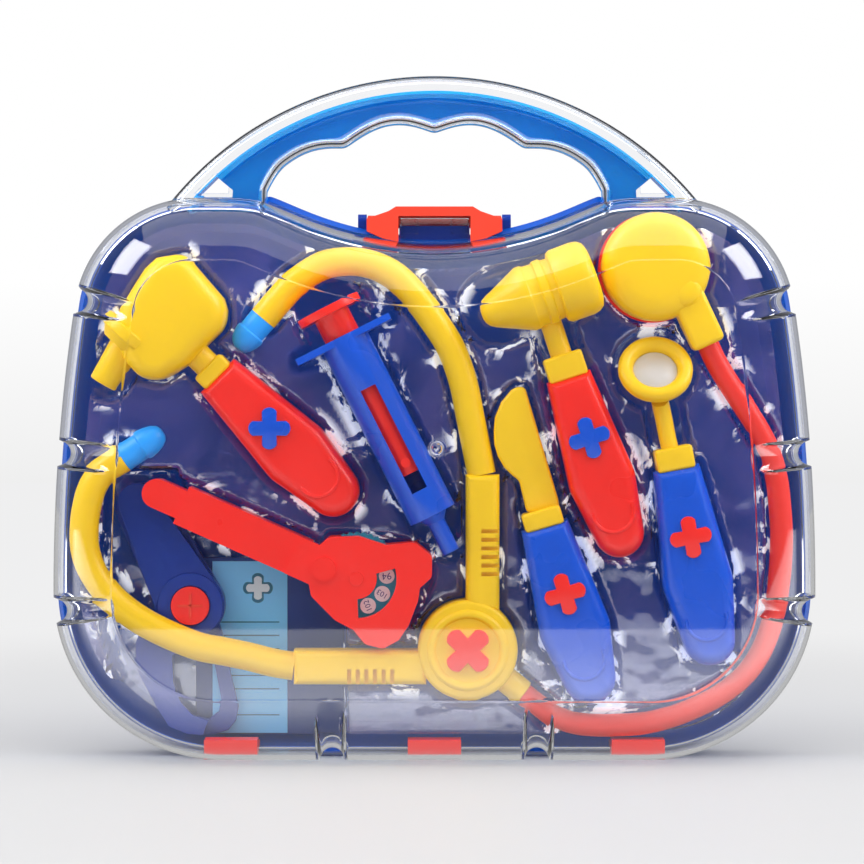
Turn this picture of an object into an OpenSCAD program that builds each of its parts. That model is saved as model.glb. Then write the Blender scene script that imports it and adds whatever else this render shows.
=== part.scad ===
// Toy doctor case: a carry case with a clear lid, standing on its bottom edge,
// and the toy instruments that lie in its clear tray.
// X runs across, Z up, and the clear lid faces -Y. The origin is under the
// middle of the closed case, on the surface that it stands on.

/* [Case] */
// Half of the case's greatest width
half_width = 140; // [138:0.5:142]
// Height of the body's shoulders, beside the handle
shoulder_height = 206.5; // [205:0.5:208]
// Depth of the clear lid, in front of the parting plane
lid_depth = 32; // [30:0.5:34]
// Depth of the blue shell, behind the parting plane
shell_depth = 20; // [19.5:0.5:22]
// Wall of the lid and the shell
wall = 1.8; // [1.6:0.1:2.2]
// Radius of the lower corners
bottom_corner = 62; // [60:1:64]
// Radius of the shoulders
shoulder_radius = 45; // [43:1:46]
// Radius of the long bow of each side
side_bow = 700; // [650:10:900]
// Depth of the groove where lid and shell meet
seam_inset = 2; // [1.6:0.1:2.2]

/* [Flutes] */
// Radius of the half-round flutes in the lid's wall
flute_radius = 4.5; // [4:0.1:5]
// Distance of each lower flute from the middle
flute_x = 37.5; // [34:0.5:40]
// Heights of the side flutes
flute_heights = [55, 113, 169];

/* [Handle] */
// Height of the handle's crown
handle_top = 251.4; // [250:0.2:254]
// Radius of the clear handle's outer arc
handle_arc = 125; // [124:0.5:126]
// How far the blue half stays inside the clear one
handle_step = 3.5; // [2.5:0.1:4]
// Depth of each half of the handle
handle_depth = 11; // [9:0.5:12]
// Width of one finger scallop
scallop = 33; // [31:0.5:34]
// Rise of one finger scallop
scallop_rise = 4.4; // [3:0.1:5]

/* [Latch] */
// How far the latch opens, in degrees
latch_turn = 100; // [60:5:110]
// Height of the latch's pivot
latch_z = 198.6; // [198.4:0.1:199]
// Depth position of the latch's pivot
latch_y = 13; // [12.5:0.1:13.5]
// Radius of the latch's pin
latch_pin = 1; // [0.8:0.1:1.2]

/* [Hinges] */
// Distance between neighbouring hinges
hinge_pitch = 75; // [73:0.5:77]
// Width of a hinge
hinge_width = 19.6; // [18:0.2:20]
// Height of the lid's hinge line over the floor
hinge_z = 1.8; // [1.8:0.05:1.9]
// Radius of a hinge pin
hinge_pin = 0.9; // [0.8:0.05:0.95]

/* [Fits] */
// Radial clearance of what turns or slides
running = 0.05; // [0.02:0.01:0.09]
// Gap between pieces that only lie near each other
gap = 0.3; // [0.2:0.05:0.4]

/* [Instruments] */
// Radius of the stethoscope's yellow tubes
tube_radius = 5.3; // [5:0.1:5.5]
// Radius of the stethoscope's red hose
hose_radius = 4.1; // [3.8:0.1:4.3]
// Radius of the syringe's barrel
barrel_radius = 9.1; // [8.8:0.1:9.1]
// Radius of the syringe's plunger
plunger_radius = 6.8; // [6:0.1:7]
// Radius of the thermometer's number dial
dial_radius = 16.2; // [15.5:0.1:16.4]
// Thickness of a paddle handle
paddle_depth = 15; // [13:0.5:15.5]
// Half the span of a cross on a paddle handle
cross_span = 7.6; // [7:0.1:8]

/* [Hidden] */

blue = "#0a3f9e";
red = "#e8271c";
yellow = "#fdc20a";
ear_blue = "#2b86d8";
clear = "#dfe8f2";

// Depths, from the lid's front to the shell's back
y_part = 6;
y_front = y_part - lid_depth;
y_back = y_part + shell_depth;
y_floor = 7;
y_deep_floor = 16.5;
y_flange = 2;
sheet = 1;

handle_centre = handle_top - handle_arc;
dip_radius = 127;
dip_bottom = 189.7;
dip_centre = dip_bottom + dip_radius;
shell_dip_lift = 3.3;
middle_height = 90;

// The lid's and the shell's sections: depth from the parting plane, inset
seam_width = 3.4;
seam_gap = 0.1;
lid_section = [
    [seam_gap, seam_inset], [seam_width, 0], [10.5, 0], [16, 2], [21.5, 6],
    [26.5, 11.8], [30, 17.8], [lid_depth, 23.8]
];
lid_flute_fade = [1, 1, 1, 1, 1, 0.95, 0.7, 0];
shell_section = [
    [seam_gap, seam_inset], [seam_width, 0], [10, 0], [15, 2.3],
    [18.5, 6], [shell_depth, 10.5]
];
shell_flute_fade = [0, 0, 0, 0, 0, 0];
handle_section = [
    [seam_gap, 1.2], [1.6, 0], [handle_depth - 3, 0.3],
    [handle_depth - 0.8, 1.8], [handle_depth, 4]
];

// Small tools for points

function unit(v) = v / norm(v);
function left_of(v) = [-v[1], v[0]];
function miter(a, b) = (a + b) / (1 + a * b);
function reverse(list) = [for (i = [len(list) - 1:-1:0]) list[i]];
function on_circle(c, r, a) = c + r * [cos(a), sin(a)];
function arc_points(c, r, a0, a1, n) =
    [for (i = [0:n]) on_circle(c, r, a0 + (a1 - a0) * i / n)];

// Inward normals of a closed loop that runs counter-clockwise
function loop_normals(p) = [
    for (i = [0:len(p) - 1])
    let (
        a = p[(i + len(p) - 1) % len(p)], b = p[i], c = p[(i + 1) % len(p)],
        before = left_of(unit([b[0] - a[0], b[1] - a[1]])),
        after = left_of(unit([c[0] - b[0], c[1] - b[1]]))
    )
    miter(before, after)
];

// The inner side of a section, one wall inside the outer side
function inner_section(s) = [
    for (i = [0:len(s) - 1])
    let (
        last = i == len(s) - 1,
        after = last ? [-1, 0] : left_of(unit(s[i + 1] - s[i]))
    )
    i == 0 ? [s[0][0], s[0][1] + wall * 1.15]
           : s[i] + wall * miter(left_of(unit(s[i] - s[i - 1])), after)
];

// The body's outline, as points of x, z, flute depth outside, flute depth inside

flute_steps = [-6.3, -4.5, -3.9, -2.2, 0, 2.2, 3.9, 4.5, 6.3];
function flute_depth(s, r) = abs(s) >= r ? 0 : sqrt(r * r - s * s);
function flute_pair(s) = [
    flute_depth(s, flute_radius),
    max(0, flute_depth(s, flute_radius + wall) - wall)
];
shoulder_centre_z = shoulder_height - shoulder_radius;
bow_centre_x = half_width - side_bow;
shoulder_centre_x = bow_centre_x + sqrt(
    pow(side_bow - shoulder_radius, 2) - pow(shoulder_centre_z - bottom_corner, 2)
);
corner_centre_x = half_width - bottom_corner;
bow_end_angle = atan2(
    shoulder_centre_z - bottom_corner, shoulder_centre_x - bow_centre_x
);
bow_end_z = bottom_corner + side_bow * sin(bow_end_angle);
function side_x(z) =
    z < bottom_corner
    ? corner_centre_x + sqrt(pow(bottom_corner, 2) - pow(bottom_corner - z, 2))
    : z < bow_end_z
    ? bow_centre_x + sqrt(pow(side_bow, 2) - pow(z - bottom_corner, 2))
    : shoulder_centre_x + sqrt(pow(shoulder_radius, 2) - pow(z - shoulder_centre_z, 2));
side_plain = [75, 90, 134, 149];
side_start = flute_heights[0] + flute_steps[0];
side_end = flute_heights[2] + flute_steps[8];
corner_end_angle = asin((side_start - bottom_corner) / bottom_corner);
shoulder_start_angle = asin((side_end - shoulder_centre_z) / shoulder_radius);

function fluted_side(k) = [
    for (s = flute_steps)
    let (z = flute_heights[k] + s)
    concat([side_x(z), z], flute_pair(s))
];
function plain(points) = [for (p = points) concat(p, [0, 0])];
function dip_z(x, lift) =
    dip_centre - sqrt(pow(dip_radius - lift, 2) - x * x);
function dip_end(lift) =
    sqrt(pow(dip_radius - lift, 2) - pow(dip_centre - shoulder_height, 2));

function right_half(lift) = concat(
    plain([[14, 0], [24, 0]]),
    [for (s = flute_steps) concat([flute_x + s, 0], flute_pair(s))],
    plain([[58, 0]]),
    plain(arc_points(
        [corner_centre_x, bottom_corner], bottom_corner, -90,
        corner_end_angle - 7, 9
    )),
    fluted_side(0),
    plain([for (z = [side_plain[0], side_plain[1]]) [side_x(z), z]]),
    fluted_side(1),
    plain([for (z = [side_plain[2], side_plain[3]]) [side_x(z), z]]),
    fluted_side(2),
    plain(arc_points(
        [shoulder_centre_x, shoulder_centre_z], shoulder_radius,
        shoulder_start_angle + 9, 90, 6
    )),
    plain([for (x = [dip_end(lift):-dip_end(lift) / 6:9]) [x, dip_z(x, lift)]])
);
function mirrored(points) = [for (p = reverse(points)) [-p[0], p[1], p[2], p[3]]];
function body_outline(lift) = concat(
    [[0, 0, 0, 0]], right_half(lift), [[0, dip_z(0, lift), 0, 0]],
    mirrored(right_half(lift))
);

// The handle's outline: the scalloped grip from left to right, then the arc back

function grip_z(x) =
    231 - 0.00505 * x * x + scallop_rise * abs(sin(180 * x / scallop));
grip_steps = 30;
grip_half = scallop * 15 / 8;
handle_root_z = 203.3;
root_turn = 7;
function handle_outline(step) =
    let (
        r = handle_arc - step,
        low = asin((handle_root_z + 1.5 - handle_centre) / r)
    )
    concat(
        [[-62, handle_root_z]],
        [for (i = [0:grip_steps])
            let (x = -grip_half + 2 * grip_half * i / grip_steps)
            [x, grip_z(x)]],
        [[62, handle_root_z]],
        [on_circle([0, handle_centre], r, low)],
        arc_points([0, handle_centre], r, low + root_turn, 180 - low - root_turn, grip_steps),
        [on_circle([0, handle_centre], r, 180 - low)]
    );

// A cup: an outer skin and an inner skin of the same loop, joined at the rim.
// way is -1 where it grows towards the front and 1 where it grows to the back.

function quad(a, b, c, d, flip) =
    flip ? [[a, d, c], [a, c, b]] : [[a, b, c], [a, c, d]];

function skin(loop, normals, section, column, fades, way) = [
    for (k = [0:len(section) - 1])
    for (i = [0:len(loop) - 1])
    let (
        deep = section[k][1] + (column > 0 ? fades[k] * loop[i][column] : 0),
        p = [loop[i][0], loop[i][1]] + normals[i] * deep
    )
    [p[0], y_part + way * section[k][0], p[1]]
];

module cup(loop, section, fades, way, star) {
    n = len(loop);
    m = len(section);
    inner = inner_section(section);
    normals = loop_normals(loop);
    fluted = star ? 2 : 0;
    points = concat(
        skin(loop, normals, section, fluted, fades, way),
        skin(loop, normals, inner, fluted > 0 ? 3 : 0, fades, way),
        [[0, y_part + way * section[m - 1][0], middle_height],
         [0, y_part + way * inner[m - 1][0], middle_height]]
    );
    front = way < 0;
    outer_last = (m - 1) * n;
    inner_first = m * n;
    inner_last = (2 * m - 1) * n;
    walls = [
        for (k = [0:m - 2]) for (i = [0:n - 1])
        let (j = (i + 1) % n, o = k * n, q = inner_first + k * n)
        each concat(
            quad(o + i, o + j, o + n + j, o + n + i, front),
            quad(q + i, q + j, q + n + j, q + n + i, !front)
        )
    ];
    rim = [
        for (i = [0:n - 1]) let (j = (i + 1) % n)
        each quad(i, j, inner_first + j, inner_first + i, !front)
    ];
    star_ends = [
        for (i = [0:n - 1]) let (j = (i + 1) % n)
        each front
        ? [[2 * m * n, outer_last + j, outer_last + i],
           [2 * m * n + 1, inner_last + i, inner_last + j]]
        : [[2 * m * n, outer_last + i, outer_last + j],
           [2 * m * n + 1, inner_last + j, inner_last + i]]
    ];
    strip_ends = [
        for (i = [0:n / 2 - 2])
        each concat(
            quad(outer_last + i, outer_last + i + 1,
                 outer_last + n - 2 - i, outer_last + n - 1 - i, front),
            quad(inner_last + i, inner_last + i + 1,
                 inner_last + n - 2 - i, inner_last + n - 1 - i, !front)
        )
    ];
    polyhedron(
        star ? points : [for (i = [0:2 * m * n - 1]) points[i]],
        concat(walls, rim, star ? star_ends : strip_ends)
    );
}

// Small tools for solids

// A slice of a flat drawing in X and Z, from y0 at the front to y1 at the back
module slab(y0, y1) {
    translate([0, y1, 0]) rotate([90, 0, 0]) linear_extrude(y1 - y0) children();
}

// Lays a piece drawn flat so that its +X runs at the angle turn in the case's
// front view, and its back rests on the depth y
module lay(at, turn, y) {
    translate([at[0], y, at[1]]) rotate([90, 0, 0]) rotate([0, 0, turn]) children();
}

// A flat outline given a depth t and rounded front and back edges of size e
module pillow(t, e) {
    hull() {
        translate([0, 0, e]) linear_extrude(t - 2 * e) children();
        translate([0, 0, e * 0.3]) linear_extrude(t - e * 0.6)
            offset(delta = -e * 0.3) children();
        linear_extrude(t) offset(delta = -e) children();
    }
}

module cross_outline(span) {
    lobe = span * 0.44;
    for (a = [0:90:270]) rotate(a) translate([span - lobe, 0]) circle(lobe, $fn = 24);
    circle(span * 0.6, $fn = 24);
}

// A tube swept along points in the plane of a drawing, closed at both ends
function tube_tangent(p, i) =
    i == 0 ? unit(p[1] - p[0])
    : i == len(p) - 1 ? unit(p[i] - p[i - 1])
    : unit(p[i + 1] - p[i - 1]);
module swept_tube(route, r, y, sides) {
    n = len(route);
    points = [
        for (i = [0:n - 1])
        let (side = left_of(tube_tangent(route, i)))
        for (k = [0:sides - 1])
        let (a = 360 * (k + 0.5) / sides, p = route[i] + side * r * cos(a))
        [p[0], y - r * sin(a), p[1]]
    ];
    faces = concat(
        [for (i = [0:n - 2]) for (k = [0:sides - 1])
            let (j = (k + 1) % sides, o = i * sides)
            each [[o + k, o + j, o + sides + j], [o + k, o + sides + j, o + sides + k]]],
        [for (k = [1:sides - 2]) [0, k + 1, k]],
        [for (k = [1:sides - 2])
            [(n - 1) * sides, (n - 1) * sides + k, (n - 1) * sides + k + 1]]
    );
    polyhedron(points, faces);
}

// The case

window = [[81.5, 214.4], [86.4, 208.9], [75.8, 209]];
peg_places = [[0, 243.3], [-59, 226.6], [59, 226.6]];
hinge_places = [-hinge_pitch, 0, hinge_pitch];
hinge_recess = 8.3;
hinge_height = 7.4;
shell_leaf_height = 5.2;

module corner_windows() {
    for (side = [0, 1]) mirror([side, 0, 0])
        slab(y_part - handle_depth - 1, y_part + handle_depth + 1) polygon(window);
}
// The filled root of a handle half, which a corner window goes through
module corner_blocks(step, y0, y1) {
    r = handle_arc - step - 1.6;
    low_z = handle_root_z + 1;
    for (side = [0, 1]) mirror([side, 0, 0]) slab(y0, y1) polygon(concat(
        [[72, low_z]],
        arc_points([0, handle_centre], r, asin((low_z - handle_centre) / r),
                   acos(76 / r), 6)
    ));
}

// Room for a hinge leaf in the rim, on one side of the parting plane
module hinge_rooms(way) {
    for (x = hinge_places)
        translate([
            x - hinge_width / 2 - 0.1,
            way < 0 ? y_part - hinge_recess : y_part - 0.01, -1
        ])
            cube([hinge_width + 0.2, hinge_recess + 0.01,
                  (way < 0 ? hinge_height : shell_leaf_height) + 1.3]);
}

lug_x = 25.2;
lug_width = 3.2;

module latch_lugs() {
    for (side = [-1, 1])
        translate([side > 0 ? lug_x : -lug_x - lug_width, latch_y, latch_z])
            rotate([0, 90, 0]) difference() {
                union() {
                    cylinder(h = lug_width, r = 2.8, $fn = 48);
                    translate([0, -2.8, 0]) cube([4.2, 5.6, lug_width]);
                }
                translate([0, 0, -1]) cylinder(h = lug_width + 2, r = latch_pin, $fn = 48);
            }
}

module back_shell() {
    color(blue) {
        difference() {
            union() {
                cup(body_outline(shell_dip_lift), shell_section, shell_flute_fade, 1, true);
                cup(handle_outline(handle_step), handle_section, [], 1, false);
                corner_blocks(handle_step, y_part + seam_gap, y_part + handle_depth - 1.4);
            }
            corner_windows();
            hinge_rooms(1);
        }
        for (p = peg_places)
            translate([p[0], y_part + handle_depth - 1, p[1]]) rotate([90, 0, 0])
                cylinder(h = handle_depth + 2, r = 2, $fn = 32);
        latch_lugs();
    }
}

tab_half = 12.8;

module front_lid() {
    color(clear) {
        difference() {
            union() {
                cup(body_outline(0), lid_section, lid_flute_fade, -1, true);
                cup(handle_outline(0), handle_section, [], -1, false);
                corner_blocks(0, y_part - handle_depth + 1.4, y_part - seam_gap);
            }
            corner_windows();
            hinge_rooms(-1);
        }
        for (p = peg_places)
            translate([p[0], y_part - 1, p[1]]) rotate([90, 0, 0]) difference() {
                cylinder(h = handle_depth - 1.8, r = 3.6, $fn = 32);
                translate([0, 0, -1]) cylinder(h = handle_depth - 3, r = 2.4, $fn = 32);
            }
        // Catch tab, with its two raised squares
        translate([-tab_half, 3.2, dip_bottom - 2.4]) cube([2 * tab_half, 2, 12.2]);
        for (x = [-tab_half, 5.8])
            translate([x, 2.4, 193.5]) cube([7, 1, 6]);
        // Stud behind the front pane
        translate([0.9, y_front + wall + 2, 115]) rotate([90, 0, 0])
            cylinder(h = 2.5, r = 3.3, $fn = 48);
    }
}

// Latch

latch_outline = [
    [-25, 194.6], [-25, 199.2], [-17, 202], [-14.2, 203.7], [14.2, 203.7],
    [17, 202], [25, 199.2], [25, 194.6], [19, 191.9], [tab_half + 0.5, 190.7],
    [tab_half + 0.5, 200.2], [-tab_half - 0.5, 200.2],
    [-tab_half - 0.5, 190.7], [-19, 191.9]
];
latch_barrel = 2.4;

module latch() {
    color(red) difference() {
        union() {
            slab(2.2, y_part - gap) polygon(latch_outline);
            translate([-14.2, 5, 200.2]) cube([28.4, latch_y - 5, 3.2]);
            for (x = [-24.8, 14.2])
                translate([x, 5, 197.4]) cube([10.6, latch_y - 5, 2.6]);
            translate([-24.8, latch_y, latch_z]) rotate([0, 90, 0])
                cylinder(h = 49.6, r = latch_barrel, $fn = 48);
        }
        translate([-26, latch_y, latch_z]) rotate([0, 90, 0])
            cylinder(h = 52, r = latch_pin + running, $fn = 48);
    }
}

module latch_pin() {
    color("silver") translate([-lug_x - lug_width, latch_y, latch_z])
        rotate([0, 90, 0]) cylinder(h = 2 * (lug_x + lug_width), r = latch_pin, $fn = 48);
}

// Hinges

knuckle = 4.4;
leaf_bottom = 0.1;

// A leaf's section on the side +Y of the hinge line, without its knuckle
module leaf_section(height) {
    polygon([
        [gap, 4.4], [2.5, 4.4], [2.5, 2.1], [seam_width + 0.1, 2.1],
        [seam_width + 0.1, leaf_bottom], [hinge_recess - 0.1, leaf_bottom],
        [hinge_recess - 0.1, height], [gap, height]
    ]);
}

module across(x0, x1) {
    translate([x0, y_part, 0]) rotate([90, 0, 90]) linear_extrude(x1 - x0) children();
}

module web_section() {
    translate([0, hinge_z]) circle(hinge_z, $fn = 48);
    translate([0, 1]) square([2.7, 3.6]);
}

module hinge_bore(r) {
    across(-hinge_width, hinge_width) translate([0, hinge_z]) circle(r, $fn = 48);
}

module shell_hinge_leaves() {
    color(red) for (x = hinge_places) translate([x, 0, 0]) difference() {
        union() {
            across(-hinge_width / 2, hinge_width / 2) leaf_section(shell_leaf_height);
            across(-hinge_width / 2, -knuckle - gap) web_section();
            across(knuckle + gap, hinge_width / 2) web_section();
        }
        hinge_bore(hinge_pin);
    }
}

module lid_hinge_leaves() {
    color(red) for (x = hinge_places) translate([x, 0, 0]) difference() {
        union() {
            across(-hinge_width / 2, hinge_width / 2) mirror([1, 0]) leaf_section(hinge_height);
            across(-knuckle, knuckle) mirror([1, 0]) web_section();
        }
        hinge_bore(hinge_pin + running);
    }
}

module hinge_pins() {
    color("silver") for (x = hinge_places) translate([x, 0, 0])
        across(-hinge_width / 2, hinge_width / 2)
            translate([0, hinge_z]) circle(hinge_pin, $fn = 48);
}

// Instruments: the common paddle handle, drawn along +X from its collar end

function paddle_tip(width) = width * 0.37;
module paddle_outline(length, width, facets) {
    hull() {
        translate([0, -width * 0.335]) square([2, width * 0.67]);
        translate([length * 0.58, 0]) circle(width / 2, $fn = facets);
        translate([length - paddle_tip(width), 0])
            circle(paddle_tip(width), $fn = facets);
    }
}
module paddle(length, width) {
    pillow(paddle_depth, 3.5) paddle_outline(length, width, 36);
    translate([length - 17, 0, paddle_depth - 1]) linear_extrude(1.7) difference() {
        circle(8, $fn = 36);
        circle(6.8, $fn = 36);
        translate([-16, -9]) square([16, 18]);
    }
}
module paddle_cross(at, turn) {
    translate([at, 0, paddle_depth]) rotate(turn) linear_extrude(1.1)
        cross_outline(cross_span);
}
// The flat back of a round piece, where it lies on the tray's floor
module lying_flat() {
    difference() {
        children();
        translate([-150, -150, -50]) cube([300, 300, 50]);
    }
}

// Otoscope

otoscope_at = [-79.7, 141.3];
otoscope_turn = -44.8;
otoscope_length = 69.5;
otoscope_width = 26;
otoscope_body = [
    [-114.3, 166.3], [-117.5, 158], [-113.5, 147.5], [-108, 140.6],
    [-100.7, 139.2], [-94.9, 142.3], [-89.8, 145.5], [-82.4, 153.5],
    [-76.6, 159], [-76, 165.2], [-77.3, 169.6], [-88.3, 182.4],
    [-91.5, 185.8], [-101.5, 184.3], [-105.8, 180.2], [-110.6, 172.6]
];
ring_at = [-112.3, 156];
ring_turn = -131.5;
speculum_at = [-111.6, 155.4];
speculum_turn = -121;
ring_radius = 10.5;

module otoscope_head() {
    color(yellow) {
        lay([0, 0], 0, y_floor) difference() {
            pillow(19, 5.5) polygon(otoscope_body);
            translate([ring_at[0], ring_at[1], -1]) rotate(ring_turn)
                translate([-2.7, -13, 0]) cube([20, 26, 30]);
        }
        lay(otoscope_at, otoscope_turn, y_floor) {
            translate([-5.2, -6.6, 0]) cube([5.2, 13.2, 13.5]);
            translate([-12, 0, 7]) rotate([0, 90, 0]) cylinder(h = 7, r = 5, $fn = 48);
        }
    }
}
module otoscope_speculum() {
    color(yellow) {
        lay(ring_at, ring_turn, y_floor) lying_flat()
            translate([-2.6, 0, ring_radius]) rotate([0, 90, 0]) {
                cylinder(h = 4.6, r = ring_radius, $fn = 64);
                cylinder(h = 6, r1 = ring_radius, r2 = 7, $fn = 64);
            }
        lay(speculum_at, speculum_turn, y_floor)
            translate([0, 0, 7.5]) rotate([0, 90, 0])
                cylinder(h = 20, r1 = 6.2, r2 = 5.2, $fn = 64);
    }
}
module otoscope_handle() {
    color(red) lay(otoscope_at, otoscope_turn, y_floor)
        paddle(otoscope_length, otoscope_width);
}
module otoscope_cross() {
    color(blue) lay(otoscope_at, otoscope_turn, y_floor) paddle_cross(27.4, 45);
}

// Stethoscope

y_tube = y_floor - tube_radius;
hub_at = [12.2, 40.6];
hub_radius = 18.4;
hub_depth = 14;
spigot_turn = -38.8;
spigot_reach = 26.4;
upper_socket = [[11.5, 55], [23.9, 104.9]];
lower_socket = [[-51.7, 27.8], [-3, 40.4]];
slot_pitch = 3.15;
function spigot_point(r) = on_circle(hub_at, r, spigot_turn);

stem_end = [100.9, 152.5];
stem_turn = -65;
stem_length = 26;
y_hose = 2;

module stethoscope_hub() {
    color(yellow) difference() {
        union() {
            lay(hub_at, 0, y_floor) rotate_extrude($fn = 96) polygon([
                [0, 0], [hub_radius, 0], [hub_radius, 11.5], [hub_radius - 1.6, hub_depth - 1],
                [hub_radius - 3.6, hub_depth - 1], [hub_radius - 4.2, hub_depth],
                [12.6, hub_depth], [12, hub_depth - 1.2], [0, hub_depth - 1.2]
            ]);
            lay(hub_at, spigot_turn, y_floor)
                translate([14, 0, y_floor - y_hose]) rotate([0, 90, 0])
                    cylinder(h = spigot_reach - 14, r = 4.9, $fn = 64);
            translate([upper_socket[0][0], -5.2, upper_socket[0][1]])
                cube([upper_socket[1][0] - upper_socket[0][0], 12.2,
                      upper_socket[1][1] - upper_socket[0][1]]);
            translate([lower_socket[0][0], -5.2, lower_socket[0][1]])
                cube([lower_socket[1][0] - lower_socket[0][0], 12.2,
                      lower_socket[1][1] - lower_socket[0][1]]);
        }
        for (k = [0:5]) {
            translate([17.2, -6, 67.8 + k * slot_pitch]) cube([8, 3.2, 1.5]);
            translate([-32 + k * slot_pitch, -6, 27]) cube([1.5, 3.2, 6.6]);
        }
    }
}
module stethoscope_hub_cross() {
    color(red) lay(hub_at, 45, y_floor) translate([0, 0, hub_depth - 1.2])
        linear_extrude(2) cross_outline(9.1);
}

upper_tube_route = [
    [17.4, 105], [17.4, 106.2], [15.4, 115], [13.2, 126], [10.4, 139.5], [5.8, 152],
    [-1.6, 163.4], [-8.4, 172], [-15.4, 178.4], [-23.4, 182.2], [-32, 183.3],
    [-41.4, 181.6], [-51, 175.6], [-57.2, 169.2], [-63.1, 162.3]
];
lower_tube_route = [
    [-51.8, 34.1], [-53, 34.1], [-59.5, 35.4], [-68.2, 37.6], [-77.8, 39.6], [-87.3, 41.5],
    [-99.1, 46.2], [-109.5, 51.8], [-118.4, 58.8], [-125, 67.4], [-128.6, 76],
    [-129.2, 84.5], [-128.2, 93], [-125.6, 101], [-121, 106.9], [-114.7, 111]
];
module stethoscope_upper_tube() {
    color(yellow) swept_tube(upper_tube_route, tube_radius, y_tube, 20);
}
module stethoscope_lower_tube() {
    color(yellow) swept_tube(lower_tube_route, tube_radius, y_tube, 20);
}

// An ear tip, from the end of its tube to its blunt nose
module ear_tip(route, length) {
    last = route[len(route) - 1];
    turn = tube_tangent(route, len(route) - 1);
    color(ear_blue) lay(last, atan2(turn[1], turn[0]), y_tube - 0.45) rotate([0, 90, 0])
        rotate_extrude($fn = 48) polygon([
            [0, 0], [5.2, 0], [5, length * 0.48], [5.7, length * 0.5],
            [5.2, length * 0.72], [3.9, length * 0.9], [2, length], [0, length]
        ]);
}
module upper_ear_tip() { ear_tip(upper_tube_route, 14.5); }
module lower_ear_tip() { ear_tip(lower_tube_route, 17.5); }

hose_route = concat(
    [spigot_point(spigot_reach), spigot_point(spigot_reach + 5)],
    [[43, 16.6], [50.5, 13.4], [59, 12.3], [68, 12.3], [77, 13], [86.5, 15.2],
     [96.5, 19], [106, 24], [114, 30.5], [119.3, 37.5], [122.8, 45], [125.2, 53],
     [126.7, 62], [127.7, 72], [128, 83], [127.4, 93], [126.2, 103],
     [123.6, 113], [119.2, 122], [113.8, 130.4]],
    [stem_end + 14 * [cos(stem_turn + 3), sin(stem_turn + 3)],
     stem_end + 6 * [cos(stem_turn), sin(stem_turn)], stem_end]
);
module stethoscope_hose() {
    color(red) swept_tube(hose_route, hose_radius, y_hose, 14);
}

chest_at = [81.3, 181.2];
chest_radius = 19.9;
module chest_piece() {
    color(yellow) {
        lay(chest_at, 0, 3) rotate_extrude($fn = 96) polygon([
            [0, 0], [chest_radius, 0], [chest_radius, 5.5], [18.2, 9],
            [14.4, 11], [8, 11.9], [0, 12]
        ]);
        lay(stem_end, stem_turn, y_floor - 1) translate([-stem_length, -6.2, 0])
            cube([stem_length, 12.4, 12.4]);
        lay([91.2, 172.8], 0, 3) cylinder(h = 11.6, r = 6.4, $fn = 48);
    }
}
module chest_piece_ring() {
    color(red) lay(chest_at - [0.8, 0.2], 0, y_floor) difference() {
        cylinder(h = 4, r = 20.1, $fn = 96);
        translate([20.2, -26, 0.9]) rotate(stem_turn + 90) translate([-7.4, -14, 0])
            cube([13, 38.2, 4]);
    }
}

// Syringe

syringe_at = [-38.3, 164.6];
syringe_turn = -63.2;
y_syringe = -3;
syringe_flat = y_floor - y_syringe;
flange_at = 10.05;
barrel_end = 83.3;
nozzle_end = 98.5;
slot_from = 31.1;
slot_to = 73;
plunger_stroke = 9;

module along(h, r) { rotate([0, 90, 0]) cylinder(h = h, r = r, $fn = 64); }

module syringe_barrel() {
    color(blue) lay(syringe_at, syringe_turn, y_syringe) difference() {
        union() {
            translate([flange_at, -19, -syringe_flat + 0.3]) cube([2.5, 38, 18]);
            translate([flange_at, 0, 0]) along(barrel_end - flange_at, barrel_radius);
            translate([barrel_end - 2, 0, 0]) rotate([0, 90, 0])
                cylinder(h = 5, r1 = 7.2, r2 = 3.4, $fn = 64);
            translate([barrel_end - 2, 0, 0]) along(nozzle_end - barrel_end + 2, 3.3);
        }
        translate([flange_at - 1, 0, 0]) along(barrel_end - flange_at - 1.5,
            plunger_radius + running);
        translate([barrel_end - 4, 0, 0]) along(30, 1.5);
        translate([slot_from, -3, 0]) cube([slot_to - slot_from, 6, 20]);
    }
}
module syringe_plunger() {
    color(red) lay(syringe_at, syringe_turn, y_syringe) {
        along(66, plunger_radius);
        difference() {
            translate([-2, 0, 0]) along(3, 12.2);
            translate([-3, -20, -syringe_flat - 10]) cube([5, 40, 10.3]);
        }
        translate([61.7, 0, 0]) cylinder(h = plunger_radius + 1, r = 1.8, $fn = 32);
    }
}

// Hammer

hammer_at = [49.2, 141.1];
hammer_turn = -72;
hammer_length = 69.5;
hammer_width = 24.6;
hammer_head_at = [40.4, 171.8];
hammer_head_turn = 20;
hammer_head_lift = 11;

module hammer_head() {
    color(yellow) {
        lay(hammer_head_at, hammer_head_turn, y_floor) lying_flat()
            translate([0, 0, hammer_head_lift]) rotate([0, 90, 0])
                rotate_extrude($fn = 72) polygon([
                    [0, -24.6], [3.6, -24.6], [5.2, -23.2], [11.4, -9.4],
                    [12.2, -7.6], [12.2, -5.4], [11, -5], [11, -1.6], [12.2, -1.2],
                    [12.2, 1.6], [11, 2], [11, 4.4], [13.4, 5], [13.8, 6.4],
                    [13.8, 16], [12.6, 18.6], [10.6, 19.4], [0, 19.4]
                ]);
        lay(hammer_at, hammer_turn, y_floor) {
            translate([-8.4, -7.3, 0]) cube([8.4, 14.6, 13.5]);
            translate([-24, 0, 7]) along(17, 4);
        }
    }
}
module hammer_handle() {
    color(red) lay(hammer_at, hammer_turn, y_floor) paddle(hammer_length, hammer_width);
}
module hammer_cross() {
    color(blue) lay(hammer_at, hammer_turn, y_floor) paddle_cross(23.7, 0);
}

// Scalpel

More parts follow.
